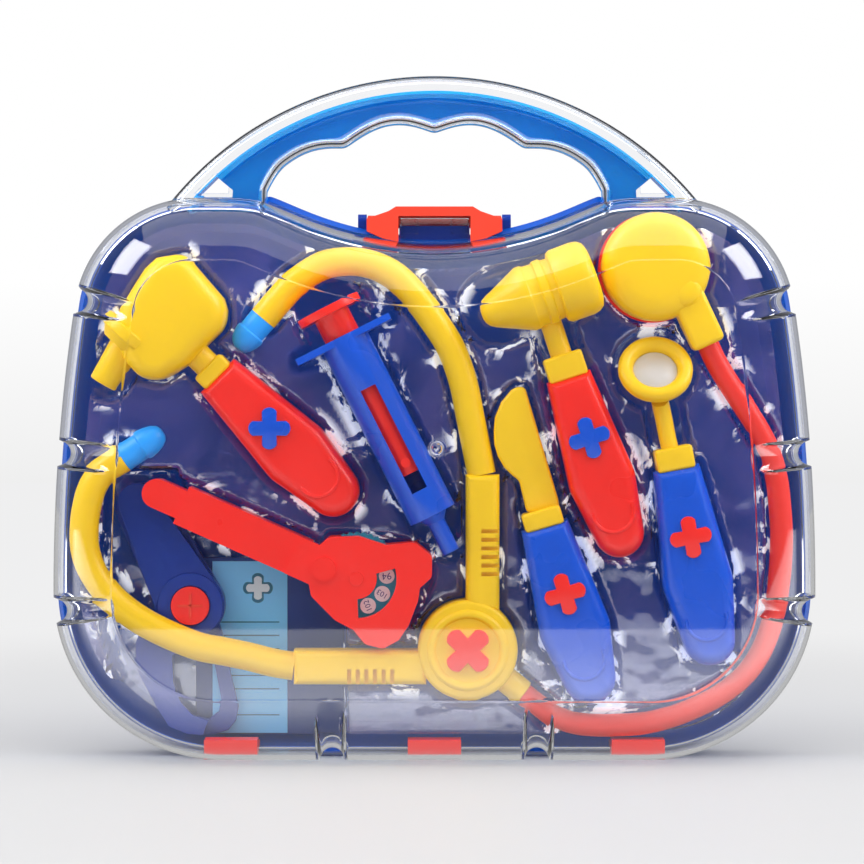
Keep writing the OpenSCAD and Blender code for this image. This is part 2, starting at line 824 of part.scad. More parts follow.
scalpel_at = [40.4, 86.4];
scalpel_turn = -73.6;
scalpel_length = 68.2;
scalpel_width = 26.2;
blade_outline = [
    [30.9, 137.5], [28.2, 136], [24.6, 131.6], [22.3, 126], [21.8, 121],
    [22, 116], [23.4, 111.4], [25.6, 107.6], [28.4, 104.8], [31.2, 102.6],
    [33.9, 91], [46.3, 91], [45.5, 96], [33.4, 136.8]
];

module scalpel_blade() {
    color(yellow) {
        lay([0, 0], 0, y_floor - 3) linear_extrude(6) polygon(blade_outline);
        lay(scalpel_at, scalpel_turn, y_floor)
            translate([-6, -7.3, 0]) cube([6, 14.6, 13.5]);
    }
}
module scalpel_handle() {
    color(blue) lay(scalpel_at, scalpel_turn, y_floor)
        paddle(scalpel_length, scalpel_width);
}
module scalpel_cross() {
    color(red) lay(scalpel_at, scalpel_turn, y_floor) paddle_cross(26, 0);
}

// Dental mirror

mirror_at = [88.7, 107.6];
mirror_turn = -79;
mirror_length = 74;
mirror_width = 25.6;
mirror_ring_at = [81, 143.7];
mirror_tilt = 34;
y_mirror = -3.4;
glass_radius = 8.2;

module tilted_ring() {
    translate([mirror_ring_at[0], y_mirror, mirror_ring_at[1]])
        rotate([90 - mirror_tilt, 0, 0]) children();
}
module mirror_frame() {
    color(yellow) {
        tilted_ring() rotate_extrude($fn = 72) polygon([
            [0, -3], [12.2, -3], [13.7, -1.5], [13.7, 1], [12.4, 2.6],
            [9.4, 2.2], [glass_radius, 0], [glass_radius, -1.8], [0, -1.8]
        ]);
        hull() {
            translate([82.6, -4.6, 132.4]) sphere(2.4, $fn = 16);
            translate([84.2, -0.6, 127]) sphere(3.4, $fn = 16);
            translate([87, 0, 114]) sphere(4, $fn = 16);
        }
        lay(mirror_at, mirror_turn, y_floor)
            translate([-7.6, -7, 0]) cube([7.6, 14, 13.5]);
    }
}
module mirror_glass() {
    color("white") tilted_ring() translate([0, 0, -1.8])
        cylinder(h = 1, r = glass_radius - gap, $fn = 64);
}
module mirror_handle() {
    color(blue) lay(mirror_at, mirror_turn, y_floor) paddle(mirror_length, mirror_width);
}
module mirror_cross() {
    color(red) lay(mirror_at, mirror_turn, y_floor) paddle_cross(25.8, 0);
}

// Thermometer

thermo_tip = [-106.9, 100.2];
thermo_turn = -24;
bar_end = 65;
dial_at = [-28.5, 67];
number_circle = 11;
dial_bumps = 40;
dial_bump = 0.8;
axle_radius = 2;
plate_outline = [
    [-38.6, 82.3], [-27.6, 82.6], [-17.7, 79.4], [-7.1, 80.4], [-0.9, 75.3],
    [-0.9, 67.6], [-5.3, 63.6], [-6, 58.9], [-9.4, 50], [-13, 44.6],
    [-18.8, 41.4], [-25.4, 43.1], [-29.6, 48.3], [-36.4, 51.9],
    [-45.1, 60.7], [-46.2, 66.5], [-43.4, 78]
];

module plate_shape() {
    offset(r = 2.5, $fn = 24) offset(delta = -2.5) polygon(plate_outline);
}
module thermometer_front() {
    color(red) {
        lay(thermo_tip, thermo_turn, y_floor) {
            linear_extrude(11) hull() {
                translate([5.4, 0]) circle(5.4, $fn = 32);
                translate([14, -5.4]) square([2, 10.8]);
            }
            translate([15.5, -7.3, 0]) cube([bar_end - 15.5, 14.6, 13]);
        }
        lay([0, 0], 0, -3) difference() {
            union() {
                linear_extrude(5) plate_shape();
                translate([-40.4, 70.6, 0]) cylinder(h = 6.2, r = 4.3, $fn = 48);
                translate(thermo_tip) rotate(thermo_turn)
                    translate([bar_end - 5, -7.3, 0.3]) cube([10, 14.6, 4.3]);
            }
            translate([dial_at[0], dial_at[1], -1]) {
                cylinder(h = 10, r = axle_radius, $fn = 48);
                linear_extrude(10) intersection() {
                    difference() {
                        circle(number_circle + 3.6, $fn = 64);
                        circle(number_circle - 3.6, $fn = 48);
                    }
                    polygon([[0, 0], [26, 7], [26, -26], [1, -26]]);
                }
            }
        }
    }
}
module thermometer_back() {
    color(red) difference() {
        lay([0, 0], 0, y_floor) linear_extrude(5) difference() {
            plate_shape();
            translate(thermo_tip) rotate(thermo_turn) translate([15, -7.3 - gap])
                square([bar_end + gap - 15, 14.6 + 2 * gap]);
        }
        lay(dial_at, 0, y_floor + 1) cylinder(h = 9, r = axle_radius, $fn = 48);
    }
}
module thermometer_dial() {
    color("teal") lay(dial_at, 0, y_floor - 5.3) difference() {
        union() {
            linear_extrude(4.1) polygon([
                for (k = [0:dial_bumps * 4 - 1])
                let (a = 90 * k / dial_bumps)
                (dial_radius + dial_bump * (0.5 + 0.5 * cos(360 * k / 4)))
                    * [cos(a), sin(a)]
            ]);
            for (a = [0:36:324]) rotate(a + 4) translate([number_circle, 0, 0])
                cylinder(h = 4.4, r = 2.9, $fn = 32);
        }
        translate([0, 0, -1]) cylinder(h = 8, r = axle_radius + running, $fn = 48);
    }
}
module thermometer_axle() {
    color("silver") lay(dial_at, 0, y_floor) cylinder(h = 15, r = axle_radius, $fn = 48);
}

// Forceps, behind the stethoscope's lower tube

pivot_at = [-90.6, 56];
pivot_radius = 2.5;
boss_radius = 12.7;
cap_radius = 7.1;
y_card = 15.5;
y_lever_back = y_card - 0.3;
y_lever_mid = 11.8;
y_lever_front = 8.3;

front_grip = [
    [-100, 60], [-108, 50], [-111, 42], [-110.9, 34], [-107.6, 26],
    [-103.6, 18.6], [-98.8, 11], [-92, 8.2], [-86, 7.6], [-84, 13],
    [-90, 15], [-94, 19.6], [-97, 27], [-97.4, 37], [-93, 44], [-86, 52]
];
back_grip = [
    [-81, 52], [-77.6, 40], [-75.9, 30], [-73.1, 18], [-74, 12.6],
    [-76.9, 9], [-81.6, 7.6], [-88, 7.2], [-93, 8.8], [-90, 13.6],
    [-84.4, 12.8], [-80.4, 16], [-79.5, 21], [-82, 34], [-89, 50]
];

// One lever: a rounded blade above the pivot and a grip below it
module lever(y0, y1, blade_at, blade_radius, grip) {
    slab(y0, y1) hull() {
        translate(blade_at) circle(blade_radius, $fn = 32);
        translate(pivot_at) circle(boss_radius, $fn = 48);
    }
    slab(y0, y1) polygon(grip);
}
module pivot_hole(r) {
    lay(pivot_at, 0, y_back) cylinder(h = 40, r = r, $fn = 48);
}
module forceps_front_lever() {
    color(blue) difference() {
        union() {
            lever(y_lever_front, y_lever_mid - 0.1, [-110.6, 94.4], 7, front_grip);
            lay(pivot_at, 0, y_lever_front + 1) difference() {
                cylinder(h = 2.1, r = boss_radius - 0.6, $fn = 64);
                translate([0, 0, 1]) cylinder(h = 2, r = cap_radius + gap, $fn = 64);
            }
        }
        pivot_hole(pivot_radius + running);
    }
}
module forceps_back_lever() {
    color(blue) difference() {
        lever(y_lever_mid + 0.1, y_lever_back, [-108.4, 91.6], 10, back_grip);
        pivot_hole(pivot_radius);
    }
}
module forceps_pivot() {
    color("silver") lay(pivot_at, 0, y_lever_back)
        cylinder(h = y_lever_back - y_lever_front + 0.2, r = pivot_radius, $fn = 48);
}
module forceps_cap() {
    color(red) lay(pivot_at, 0, y_lever_front - 0.2)
        cylinder(h = 1.9, r = cap_radius, $fn = 64);
}

// Record card

card_low = [-89.2, 7];
card_high = [-34, 73.4];
sticker_low = [-83, 7.5];
sticker_high = [-55, 72];

module record_board() {
    color("#12306e") slab(y_card, y_card + 2) translate(card_low)
        square(card_high - card_low);
}
module record_sticker() {
    color("#a9d3df") slab(y_card - 0.3, y_card) translate(sticker_low)
        square(sticker_high - sticker_low);
}

// Tray: a formed sheet with a pocket for each instrument

tray_inset = 9.2;
pocket_room = 1.2;
deep_zone = [
    [-104, 10.9], [-98, 8.2], [-92, 6.5], [-33, 6.5], [-33, 74.6], [-62, 76.4],
    [-88, 84], [-95.5, 106.5], [-121, 106.5], [-123.5, 76], [-124.5, 50],
    [-116, 20.2], [-110, 14.6]
];
tray_posts = [hub_at, chest_at, [-98, 162], [96, 80], [-20, 128]];

module at_plane(at, turn) { translate(at) rotate(turn) children(); }
// The room along a tube, drawn through every second point of its route
module route_room(route, r) {
    last = len(route) - 1;
    stops = concat([for (i = [0:2:last - 1]) route[i]], [route[last]]);
    for (i = [0:len(stops) - 2]) hull() {
        translate(stops[i]) circle(r, $fn = 8);
        translate(stops[i + 1]) circle(r, $fn = 8);
    }
}
module instrument_shadow() {
    polygon(otoscope_body);
    at_plane(ring_at, ring_turn) translate([-4, -ring_radius]) square([9, 2 * ring_radius]);
    at_plane(speculum_at, speculum_turn) translate([0, -6.2]) square([20, 12.4]);
    at_plane(otoscope_at, otoscope_turn) {
        paddle_outline(otoscope_length, otoscope_width, 16);
        translate([-14, -6.6]) square([15, 13.2]);
    }
    translate(hub_at) circle(hub_radius, $fn = 24);
    at_plane(hub_at, spigot_turn) translate([0, -5]) square([spigot_reach, 10]);
    translate(upper_socket[0]) square(upper_socket[1] - upper_socket[0]);
    translate(lower_socket[0]) square(lower_socket[1] - lower_socket[0]);
    route_room(upper_tube_route, tube_radius + 0.7);
    route_room(lower_tube_route, tube_radius + 0.7);
    route_room(hose_route, hose_radius + 0.7);
    translate(upper_tube_route[14]) rotate(-129) translate([0, -6.4]) square([14.5, 12.8]);
    translate(lower_tube_route[15]) rotate(31.5) translate([0, -6.4]) square([17.5, 12.8]);
    translate(chest_at) circle(chest_radius + 1, $fn = 24);
    at_plane(stem_end, stem_turn) translate([-stem_length, -6.2]) square([stem_length, 12.4]);
    at_plane(syringe_at, syringe_turn) {
        translate([-3, -12.2]) square([flange_at + 6, 24.4]);
        translate([flange_at, -19]) square([2.5, 38]);
        translate([flange_at, -barrel_radius])
            square([barrel_end - flange_at, 2 * barrel_radius]);
        translate([barrel_end, -4]) square([nozzle_end - barrel_end, 8]);
    }
    at_plane(hammer_head_at, hammer_head_turn)
        polygon([[-24.6, -5.2], [-7.6, -12.2], [5, -13.8], [19.4, -13.8],
                 [19.4, 13.8], [5, 13.8], [-7.6, 12.2], [-24.6, 5.2]]);
    at_plane(hammer_at, hammer_turn) {
        paddle_outline(hammer_length, hammer_width, 16);
        translate([-18, -7.3]) square([19, 14.6]);
    }
    polygon(blade_outline);
    at_plane(scalpel_at, scalpel_turn) {
        paddle_outline(scalpel_length, scalpel_width, 16);
        translate([-6, -7.3]) square([7, 14.6]);
    }
    translate(mirror_ring_at) circle(13.9, $fn = 20);
    at_plane(mirror_at, mirror_turn) {
        paddle_outline(mirror_length, mirror_width, 16);
        translate([-26, -7]) square([27, 14]);
    }
    polygon(plate_outline);
    translate(dial_at) circle(dial_radius + 1.4, $fn = 24);
    at_plane(thermo_tip, thermo_turn) translate([0, -7.3]) square([66, 14.6]);
}
module tray_outline() {
    offset(delta = -tray_inset)
        polygon([for (p = body_outline(0)) [p[0], p[1]]]);
}
// The instruments' outlines, widened, with the narrow gaps between them closed
module pockets(room, closing) {
    offset(delta = -closing, chamfer = true)
        offset(delta = room + closing) instrument_shadow();
}
module deep_outline(grow) {
    offset(delta = grow) polygon(deep_zone);
}
module tray() {
    color(clear) difference() {
        union() {
            slab(y_flange - sheet, y_floor + sheet) tray_outline();
            slab(y_floor, y_card + 2 + sheet) deep_outline(sheet);
            for (p = tray_posts) lay(p, 0, y_back - wall)
                cylinder(h = y_back - wall - y_floor - 0.4, r = 4, $fn = 32);
        }
        slab(y_flange - 2, y_floor) pockets(pocket_room, 1.2);
        slab(y_flange, y_floor + 2) difference() {
            offset(delta = -sheet) tray_outline();
            pockets(pocket_room + sheet, 1.6);
            deep_outline(sheet + 0.2);
        }
        slab(y_flange - 2, y_card + 2) deep_outline(0);
    }
}

back_shell();
front_lid();
latch();
latch_pin();
shell_hinge_leaves();
lid_hinge_leaves();
hinge_pins();
tray();
otoscope_head();
otoscope_speculum();
otoscope_handle();
otoscope_cross();
stethoscope_hub();
stethoscope_hub_cross();
stethoscope_upper_tube();
stethoscope_lower_tube();
upper_ear_tip();
lower_ear_tip();
stethoscope_hose();
chest_piece();
chest_piece_ring();
syringe_barrel();
syringe_plunger();
hammer_head();
hammer_handle();
hammer_cross();
scalpel_blade();
scalpel_handle();
scalpel_cross();
mirror_frame();
mirror_glass();
mirror_handle();
mirror_cross();
thermometer_front();
thermometer_back();
thermometer_dial();
thermometer_axle();
forceps_front_lever();
forceps_back_lever();
forceps_pivot();
forceps_cap();
record_board();
record_sticker();
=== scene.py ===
"""A toy doctor case with a clear lid: the case, its tray and its instruments, dressed for renders.

Sizes are in millimetres. A piece is shaped flat, lying on its back with w up,
and then settled into the case in metres.
"""

import logging
import math
from dataclasses import dataclass, field
from enum import Enum
from typing import Callable

import bpy
import numpy as np
from mathutils import Matrix, Vector


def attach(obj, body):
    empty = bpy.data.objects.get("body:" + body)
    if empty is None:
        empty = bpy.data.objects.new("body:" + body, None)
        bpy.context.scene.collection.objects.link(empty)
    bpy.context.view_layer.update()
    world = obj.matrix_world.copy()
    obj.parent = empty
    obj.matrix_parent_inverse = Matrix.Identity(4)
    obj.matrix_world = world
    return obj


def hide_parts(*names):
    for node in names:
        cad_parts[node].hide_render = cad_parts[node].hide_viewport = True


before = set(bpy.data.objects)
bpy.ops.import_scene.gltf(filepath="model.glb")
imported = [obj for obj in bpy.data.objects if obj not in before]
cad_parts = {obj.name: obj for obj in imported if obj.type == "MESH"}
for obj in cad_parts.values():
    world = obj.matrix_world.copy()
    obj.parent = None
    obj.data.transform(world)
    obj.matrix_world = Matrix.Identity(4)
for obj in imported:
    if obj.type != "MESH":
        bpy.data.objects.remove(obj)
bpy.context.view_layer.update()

log = logging.getLogger("doctor_case")
MM = 0.001
FLOOR_DEPTH = 7.0
PART_DEPTH = 6.0

Point = tuple[float, float]
Colour = tuple[float, float, float]


# ---------------------------------------------------------------- finishes


def new_material(name: str) -> tuple[bpy.types.Material, Callable, Callable]:
    """An empty node material.

    Args:
        name: The material's name.

    Returns:
        The material, a function that adds a node and one that links two sockets.
    """
    material = bpy.data.materials.new(f"finish_{name}")
    material.use_nodes = True
    tree = material.node_tree
    tree.nodes.clear()
    return material, tree.nodes.new, tree.links.new


@dataclass(frozen=True)
class Plastic:
    """An opaque moulded plastic with a faintly uneven skin."""

    name: str
    colour: Colour
    roughness: float = 0.3
    ripple: float = 0.12
    ripple_scale: float = 45.0
    glow: float = 0.0
    coat: float = 0.0

    def material(self) -> bpy.types.Material:
        """The finish's material, made once."""
        made = bpy.data.materials.get(f"finish_{self.name}")
        if made:
            return made
        material, add, link = new_material(self.name)
        shader = add("ShaderNodeBsdfPrincipled")
        shader.inputs["Base Color"].default_value = (*self.colour, 1)
        shader.inputs["IOR"].default_value = 1.47
        shader.inputs["Coat Weight"].default_value = self.coat
        shader.inputs["Coat Roughness"].default_value = 0.08
        shader.inputs["Emission Color"].default_value = (*self.colour, 1)
        shader.inputs["Emission Strength"].default_value = self.glow
        place = add("ShaderNodeTexCoord")
        noise = add("ShaderNodeTexNoise")
        noise.inputs["Scale"].default_value = self.ripple_scale
        noise.inputs["Detail"].default_value = 2
        link(place.outputs["Object"], noise.inputs["Vector"])
        gloss = add("ShaderNodeMapRange")
        gloss.inputs["To Min"].default_value = self.roughness * 0.75
        gloss.inputs["To Max"].default_value = self.roughness * 1.25
        link(noise.outputs["Fac"], gloss.inputs["Value"])
        link(gloss.outputs["Result"], shader.inputs["Roughness"])
        bump = add("ShaderNodeBump")
        bump.inputs["Strength"].default_value = self.ripple
        bump.inputs["Distance"].default_value = 0.002
        link(noise.outputs["Fac"], bump.inputs["Height"])
        link(bump.outputs["Normal"], shader.inputs["Normal"])
        link(shader.outputs["BSDF"], add("ShaderNodeOutputMaterial").inputs["Surface"])
        return material


@dataclass(frozen=True)
class ClearPlastic:
    """A clear or tinted moulded plastic that lets the lamps through."""

    name: str
    tint: Colour
    shade: Colour
    roughness: float = 0.02
    ior: float = 1.55
    ripple: float = 0.0
    ripple_scale: float = 20.0

    def material(self) -> bpy.types.Material:
        """The finish's material, made once."""
        made = bpy.data.materials.get(f"finish_{self.name}")
        if made:
            return made
        material, add, link = new_material(self.name)
        shader = add("ShaderNodeBsdfPrincipled")
        shader.inputs["Base Color"].default_value = (*self.tint, 1)
        shader.inputs["Roughness"].default_value = self.roughness
        shader.inputs["IOR"].default_value = self.ior
        shader.inputs["Transmission Weight"].default_value = 1
        if self.ripple:
            place = add("ShaderNodeTexCoord")
            noise = add("ShaderNodeTexNoise")
            noise.inputs["Scale"].default_value = self.ripple_scale
            noise.inputs["Detail"].default_value = 1.5
            link(place.outputs["Object"], noise.inputs["Vector"])
            bump = add("ShaderNodeBump")
            bump.inputs["Strength"].default_value = self.ripple
            bump.inputs["Distance"].default_value = 0.004
            link(noise.outputs["Fac"], bump.inputs["Height"])
            link(bump.outputs["Normal"], shader.inputs["Normal"])
        through = add("ShaderNodeBsdfTransparent")
        through.inputs["Color"].default_value = (*self.shade, 1)
        path = add("ShaderNodeLightPath")
        mix = add("ShaderNodeMixShader")
        link(path.outputs["Is Shadow Ray"], mix.inputs["Fac"])
        link(shader.outputs["BSDF"], mix.inputs[1])
        link(through.outputs["BSDF"], mix.inputs[2])
        link(mix.outputs["Shader"], add("ShaderNodeOutputMaterial").inputs["Surface"])
        return material


@dataclass(frozen=True)
class FormedFilm(ClearPlastic):
    """A clear film with a faint painted purple sheen in patches where it lies flat, and painted white
    glints, glowing a little, along the walls where it was drawn.
    """

    # A faint painted purple sheen, standing for reflected light, in patches on the flat flange.
    painted_sheen: Colour = (0.5, 0.36, 0.85)
    painted_sheen_share: float = 0.05
    # Painted white glints in noise patches near the pocket walls.
    painted_glint: Colour = (0.93, 0.95, 1.0)
    painted_glint_share: float = 0.95
    painted_glint_scale: float = 75.0

    def material(self) -> bpy.types.Material:
        """The finish's material, made once."""
        made = bpy.data.materials.get(f"finish_{self.name}")
        if made:
            return made
        material = super().material()
        tree = material.node_tree
        add, link = tree.nodes.new, tree.links.new
        output = next(n for n in tree.nodes if n.bl_idname == "ShaderNodeOutputMaterial")
        last = output.inputs["Surface"].links[0].from_socket
        place = add("ShaderNodeTexCoord")
        # Two painted layers over the clear film: a purple sheen on the flat flange and white glints near
        # the pocket walls.
        for colour, share, mask, scale, ends in (
            (self.painted_sheen, self.painted_sheen_share, "flat", 28.0, (0.3, 0.6)),
            (self.painted_glint, self.painted_glint_share, "drawn", self.painted_glint_scale, (0.565, 0.595)),
        ):
            noise = add("ShaderNodeTexNoise")
            noise.inputs["Scale"].default_value = scale
            noise.inputs["Detail"].default_value = 5
            noise.inputs["Roughness"].default_value = 0.62
            noise.inputs["Distortion"].default_value = 0.8
            link(place.outputs["Object"], noise.inputs["Vector"])
            patch = add("ShaderNodeMapRange")
            patch.inputs["From Min"].default_value = ends[0]
            patch.inputs["From Max"].default_value = ends[1]
            patch.inputs["To Max"].default_value = share
            link(noise.outputs["Fac"], patch.inputs["Value"])
            where = add("ShaderNodeAttribute")
            where.attribute_name = mask
            amount = add("ShaderNodeMath")
            amount.operation = "MULTIPLY"
            link(patch.outputs["Result"], amount.inputs[0])
            link(where.outputs["Fac"], amount.inputs[1])
            painted_layer = add("ShaderNodeBsdfPrincipled")
            painted_layer.inputs["Base Color"].default_value = (*colour, 1)
            painted_layer.inputs["Roughness"].default_value = 0.4
            painted_layer.inputs["Emission Color"].default_value = (*colour, 1)
            # The painted glints also glow a little, though the film is no lamp.
            painted_layer.inputs["Emission Strength"].default_value = 0.4 if mask == "drawn" else 0
            mix = add("ShaderNodeMixShader")
            link(amount.outputs["Value"], mix.inputs["Fac"])
            link(last, mix.inputs[1])
            link(painted_layer.outputs["BSDF"], mix.inputs[2])
            last = mix.outputs["Shader"]
        link(last, output.inputs["Surface"])
        return material


@dataclass(frozen=True)
class Foil:
    """A bright foil or steel finish."""

    name: str
    colour: Colour
    roughness: float = 0.25
    metallic: float = 1.0

    def material(self) -> bpy.types.Material:
        """The finish's material, made once."""
        made = bpy.data.materials.get(f"finish_{self.name}")
        if made:
            return made
        material, add, link = new_material(self.name)
        shader = add("ShaderNodeBsdfPrincipled")
        shader.inputs["Base Color"].default_value = (*self.colour, 1)
        shader.inputs["Metallic"].default_value = self.metallic
        place = add("ShaderNodeTexCoord")
        noise = add("ShaderNodeTexNoise")
        noise.inputs["Scale"].default_value = 300
        link(place.outputs["Object"], noise.inputs["Vector"])
        gloss = add("ShaderNodeMapRange")
        gloss.inputs["To Min"].default_value = self.roughness * 0.8
        gloss.inputs["To Max"].default_value = self.roughness * 1.2
        link(noise.outputs["Fac"], gloss.inputs["Value"])
        link(gloss.outputs["Result"], shader.inputs["Roughness"])
        link(shader.outputs["BSDF"], add("ShaderNodeOutputMaterial").inputs["Surface"])
        return material


RED = Plastic("red_plastic", (0.95, 0.018, 0.01), roughness=0.3)
YELLOW = Plastic("yellow_plastic", (0.96, 0.6, 0.006), roughness=0.36, ripple=0.2)
BLUE = Plastic("blue_plastic", (0.0015, 0.085, 0.62), roughness=0.28)
DEEP_BLUE = Plastic("deep_blue_plastic", (0.001, 0.03, 0.3), roughness=0.3)
# A lighter copy of the shell's blue plastic for the handle half: painted light, the handle lit more than
# the shell's inside.
LIT_HANDLE_BLUE = Plastic("lit_handle_blue_plastic", (0.001, 0.33, 0.82), roughness=0.25)
SHELL_BLUE = Plastic("shell_blue_plastic", (0.002, 0.085, 0.5), roughness=0.22)
EAR_BLUE = Plastic("ear_tip_plastic", (0.02, 0.36, 0.98), roughness=0.4)
HOSE_RED = Plastic("hose_red_plastic", (0.86, 0.03, 0.018), roughness=0.38)
LATCH_RED = Plastic("latch_red_plastic", (0.9, 0.06, 0.03), roughness=0.25)
TEAL = Plastic("dial_teal_plastic", (0.02, 0.28, 0.42), roughness=0.4)
DIAL_WHITE = Plastic("dial_white_print", (0.85, 0.87, 0.88), roughness=0.5, ripple=0)
DIAL_INK = Plastic("dial_ink", (0.03, 0.05, 0.25), roughness=0.5, ripple=0)
BOARD = Plastic("board_card", (0.01, 0.04, 0.22), roughness=0.6, ripple=0)
PAPER = Plastic("sticker_paper", (0.2, 0.6, 0.98), roughness=0.6, ripple=0)
PAPER_INK = Plastic("sticker_ink", (0.03, 0.16, 0.26), roughness=0.6, ripple=0)
PAPER_PALE = Plastic("sticker_pale_print", (0.66, 0.8, 0.86), roughness=0.6, ripple=0)
STEEL = Foil("steel_pins", (0.6, 0.62, 0.65))
MIRROR = Foil("mirror_foil", (0.62, 0.6, 0.58), roughness=0.5, metallic=0.4)
CLEAR = ClearPlastic("clear_plastic", (0.97, 0.98, 1.0), (0.93, 0.95, 0.98))
# The tray's greyer tint and darker shade colour are partly the film's own tint and partly painted shade on
# the shell's inside behind it.
TRAY_FILM = FormedFilm(
    "tray_clear_plastic", (0.84, 0.87, 0.95), (0.7, 0.74, 0.86), roughness=0.05,
    ripple=0.35, ripple_scale=70,
)


# ---------------------------------------------------------------- modelling


class Part(Enum):
    """What a selection in edit mode picks."""

    POINTS = (True, False, False)
    EDGES = (False, True, False)
    FACES = (False, False, True)


def lay(at: Point, turn: float, y: float) -> Matrix:
    """The place of a piece that lies on its back.

    Args:
        at: The piece's origin in the case's front view, x and z.
        turn: The angle of the piece's own u axis in that view, in degrees.
        y: The depth that its back rests on.

    Returns:
        The matrix from the piece's millimetres to the case's metres.
    """
    return (
        Matrix.Translation(Vector((at[0], y, at[1])) * MM)
        @ Matrix.Rotation(math.radians(90), 4, "X")
        @ Matrix.Rotation(math.radians(turn), 4, "Z")
        @ Matrix.Scale(MM, 4)
    )


UPRIGHT = Matrix.Scale(MM, 4)


class Workpiece:
    """A mesh in millimetres that is shaped in edit mode and then settled in the case."""

    def __init__(self, obj: bpy.types.Object) -> None:
        """Takes obj, an object whose place is already in its mesh."""
        self.obj = obj

    @classmethod
    def _taken(cls) -> "Workpiece":
        """The object that an operator just added, with its place put into its mesh."""
        obj = bpy.context.active_object
        bpy.ops.object.transform_apply(location=True, rotation=True, scale=True)
        return cls(obj)

    @classmethod
    def box(cls, low: tuple, high: tuple) -> "Workpiece":
        """A box between two corners."""
        low, high = Vector(low), Vector(high)
        bpy.ops.object.select_all(action="DESELECT")
        bpy.ops.mesh.primitive_cube_add(
            size=1, location=(low + high) / 2, scale=high - low
        )
        return cls._taken()

    @classmethod
    def drum(
        cls, radius: float, low: float, high: float, axis: str = "w",
        at: tuple = (0, 0), sides: int = 64, tip: float | None = None,
    ) -> "Workpiece":
        """A round bar or cone.

        Args:
            radius: Its radius at low.
            low: Where it starts along its axis.
            high: Where it ends along its axis.
            axis: "u" for a bar that lies, "w" for one that stands.
            at: Where its axis crosses, v and w for a lying bar, u and v else.
            sides: How many sides it has.
            tip: Its radius at high, if it isn't the same.

        Returns:
            The new piece.
        """
        place = (
            ((low + high) / 2, at[0], at[1]) if axis == "u" else (at[0], at[1], (low + high) / 2)
        )
        turn = (0, math.radians(90), 0) if axis == "u" else (0, 0, 0)
        bpy.ops.object.select_all(action="DESELECT")
        bpy.ops.mesh.primitive_cone_add(
            vertices=sides, radius1=radius, radius2=radius if tip is None else tip,
            depth=high - low, location=place, rotation=turn,
        )
        return cls._taken()

    @classmethod
    def plate(cls, outline: list[Point], low: float, high: float) -> "Workpiece":
        """A flat outline in u and v, raised from low to high."""
        bpy.ops.object.select_all(action="DESELECT")
        bpy.ops.mesh.primitive_circle_add(vertices=len(outline), fill_type="NGON")
        piece = cls._taken()
        piece.place_points([(u, v, low) for u, v in outline])
        piece.pick(Part.FACES, lambda p: True)
        bpy.ops.mesh.extrude_region_move(
            TRANSFORM_OT_translate={"value": (0, 0, high - low)}
        )
        return piece.tidied()

    @classmethod
    def turned(cls, profile: list[Point], steps: int = 72) -> "Workpiece":
        """A profile of radius and height, spun about w."""
        bpy.ops.object.select_all(action="DESELECT")
        bpy.ops.mesh.primitive_circle_add(vertices=len(profile), fill_type="NOTHING")
        piece = cls._taken()
        piece.place_points([(r, 0, h) for r, h in profile])
        piece.pick(Part.POINTS, lambda p: True)
        bpy.ops.mesh.spin(
            steps=steps, angle=2 * math.pi, center=(0, 0, 0), axis=(0, 0, 1)
        )
        return piece.tidied()

    @classmethod
    def net(cls, rows: np.ndarray, closed: bool) -> "Workpiece":
        """A net of points, rows by columns by 3, laid over a grid; closed joins its columns."""
        count, width = rows.shape[0], rows.shape[1]
        if closed:
            rows = np.concatenate([rows, rows[:, :1]], axis=1)
            width += 1
        bpy.ops.object.select_all(action="DESELECT")
        bpy.ops.mesh.primitive_grid_add(
            x_subdivisions=width - 1, y_subdivisions=count - 1, size=1
        )
        piece = cls._taken()
        piece.place_points(rows.reshape(-1, 3))
        return piece.tidied() if closed else piece

    @classmethod
    def tube(
        cls, route: list[tuple], radius: float, sides: int = 10
    ) -> "Workpiece":
        """A round tube along a smooth route of points."""
        bpy.ops.object.select_all(action="DESELECT")
        bpy.ops.curve.primitive_nurbs_path_add()
        obj = bpy.context.active_object
        obj.data.splines.clear()
        path = smooth_route(route)
        spline = obj.data.splines.new("POLY")
        spline.points.add(len(path) - 1)
        for point, place in zip(spline.points, path):
            point.co = (*place, 1)
        obj.data.bevel_depth = radius
        obj.data.bevel_resolution = sides
        obj.data.use_fill_caps = True
        bpy.ops.object.convert(target="MESH")
        return cls._taken().tidied()

    def place_points(self, places: list | np.ndarray) -> None:
        """Puts the mesh's points at these places, in order."""
        self.obj.data.vertices.foreach_set(
            "co", np.asarray(places, dtype=np.float32).ravel()
        )
        self.obj.data.update()

    def pick(self, part: Part, test: Callable[[Vector], bool]) -> None:
        """Opens edit mode with the elements selected whose every point passes test."""
        if bpy.context.mode == "EDIT_MESH":
            bpy.ops.object.mode_set(mode="OBJECT")
        bpy.ops.object.select_all(action="DESELECT")
        bpy.context.view_layer.objects.active = self.obj
        self.obj.select_set(True)
        bpy.context.tool_settings.mesh_select_mode = part.value
        mesh = self.obj.data
        passed = [bool(test(v.co)) for v in mesh.vertices]
        mesh.vertices.foreach_set("select", passed if part is Part.POINTS else [False] * len(passed))
        mesh.edges.foreach_set(
            "select", [part is Part.EDGES and all(passed[i] for i in e.vertices) for e in mesh.edges]
        )
        mesh.polygons.foreach_set(
            "select",
            [part is Part.FACES and all(passed[i] for i in f.vertices) for f in mesh.polygons],
        )
        bpy.ops.object.mode_set(mode="EDIT")

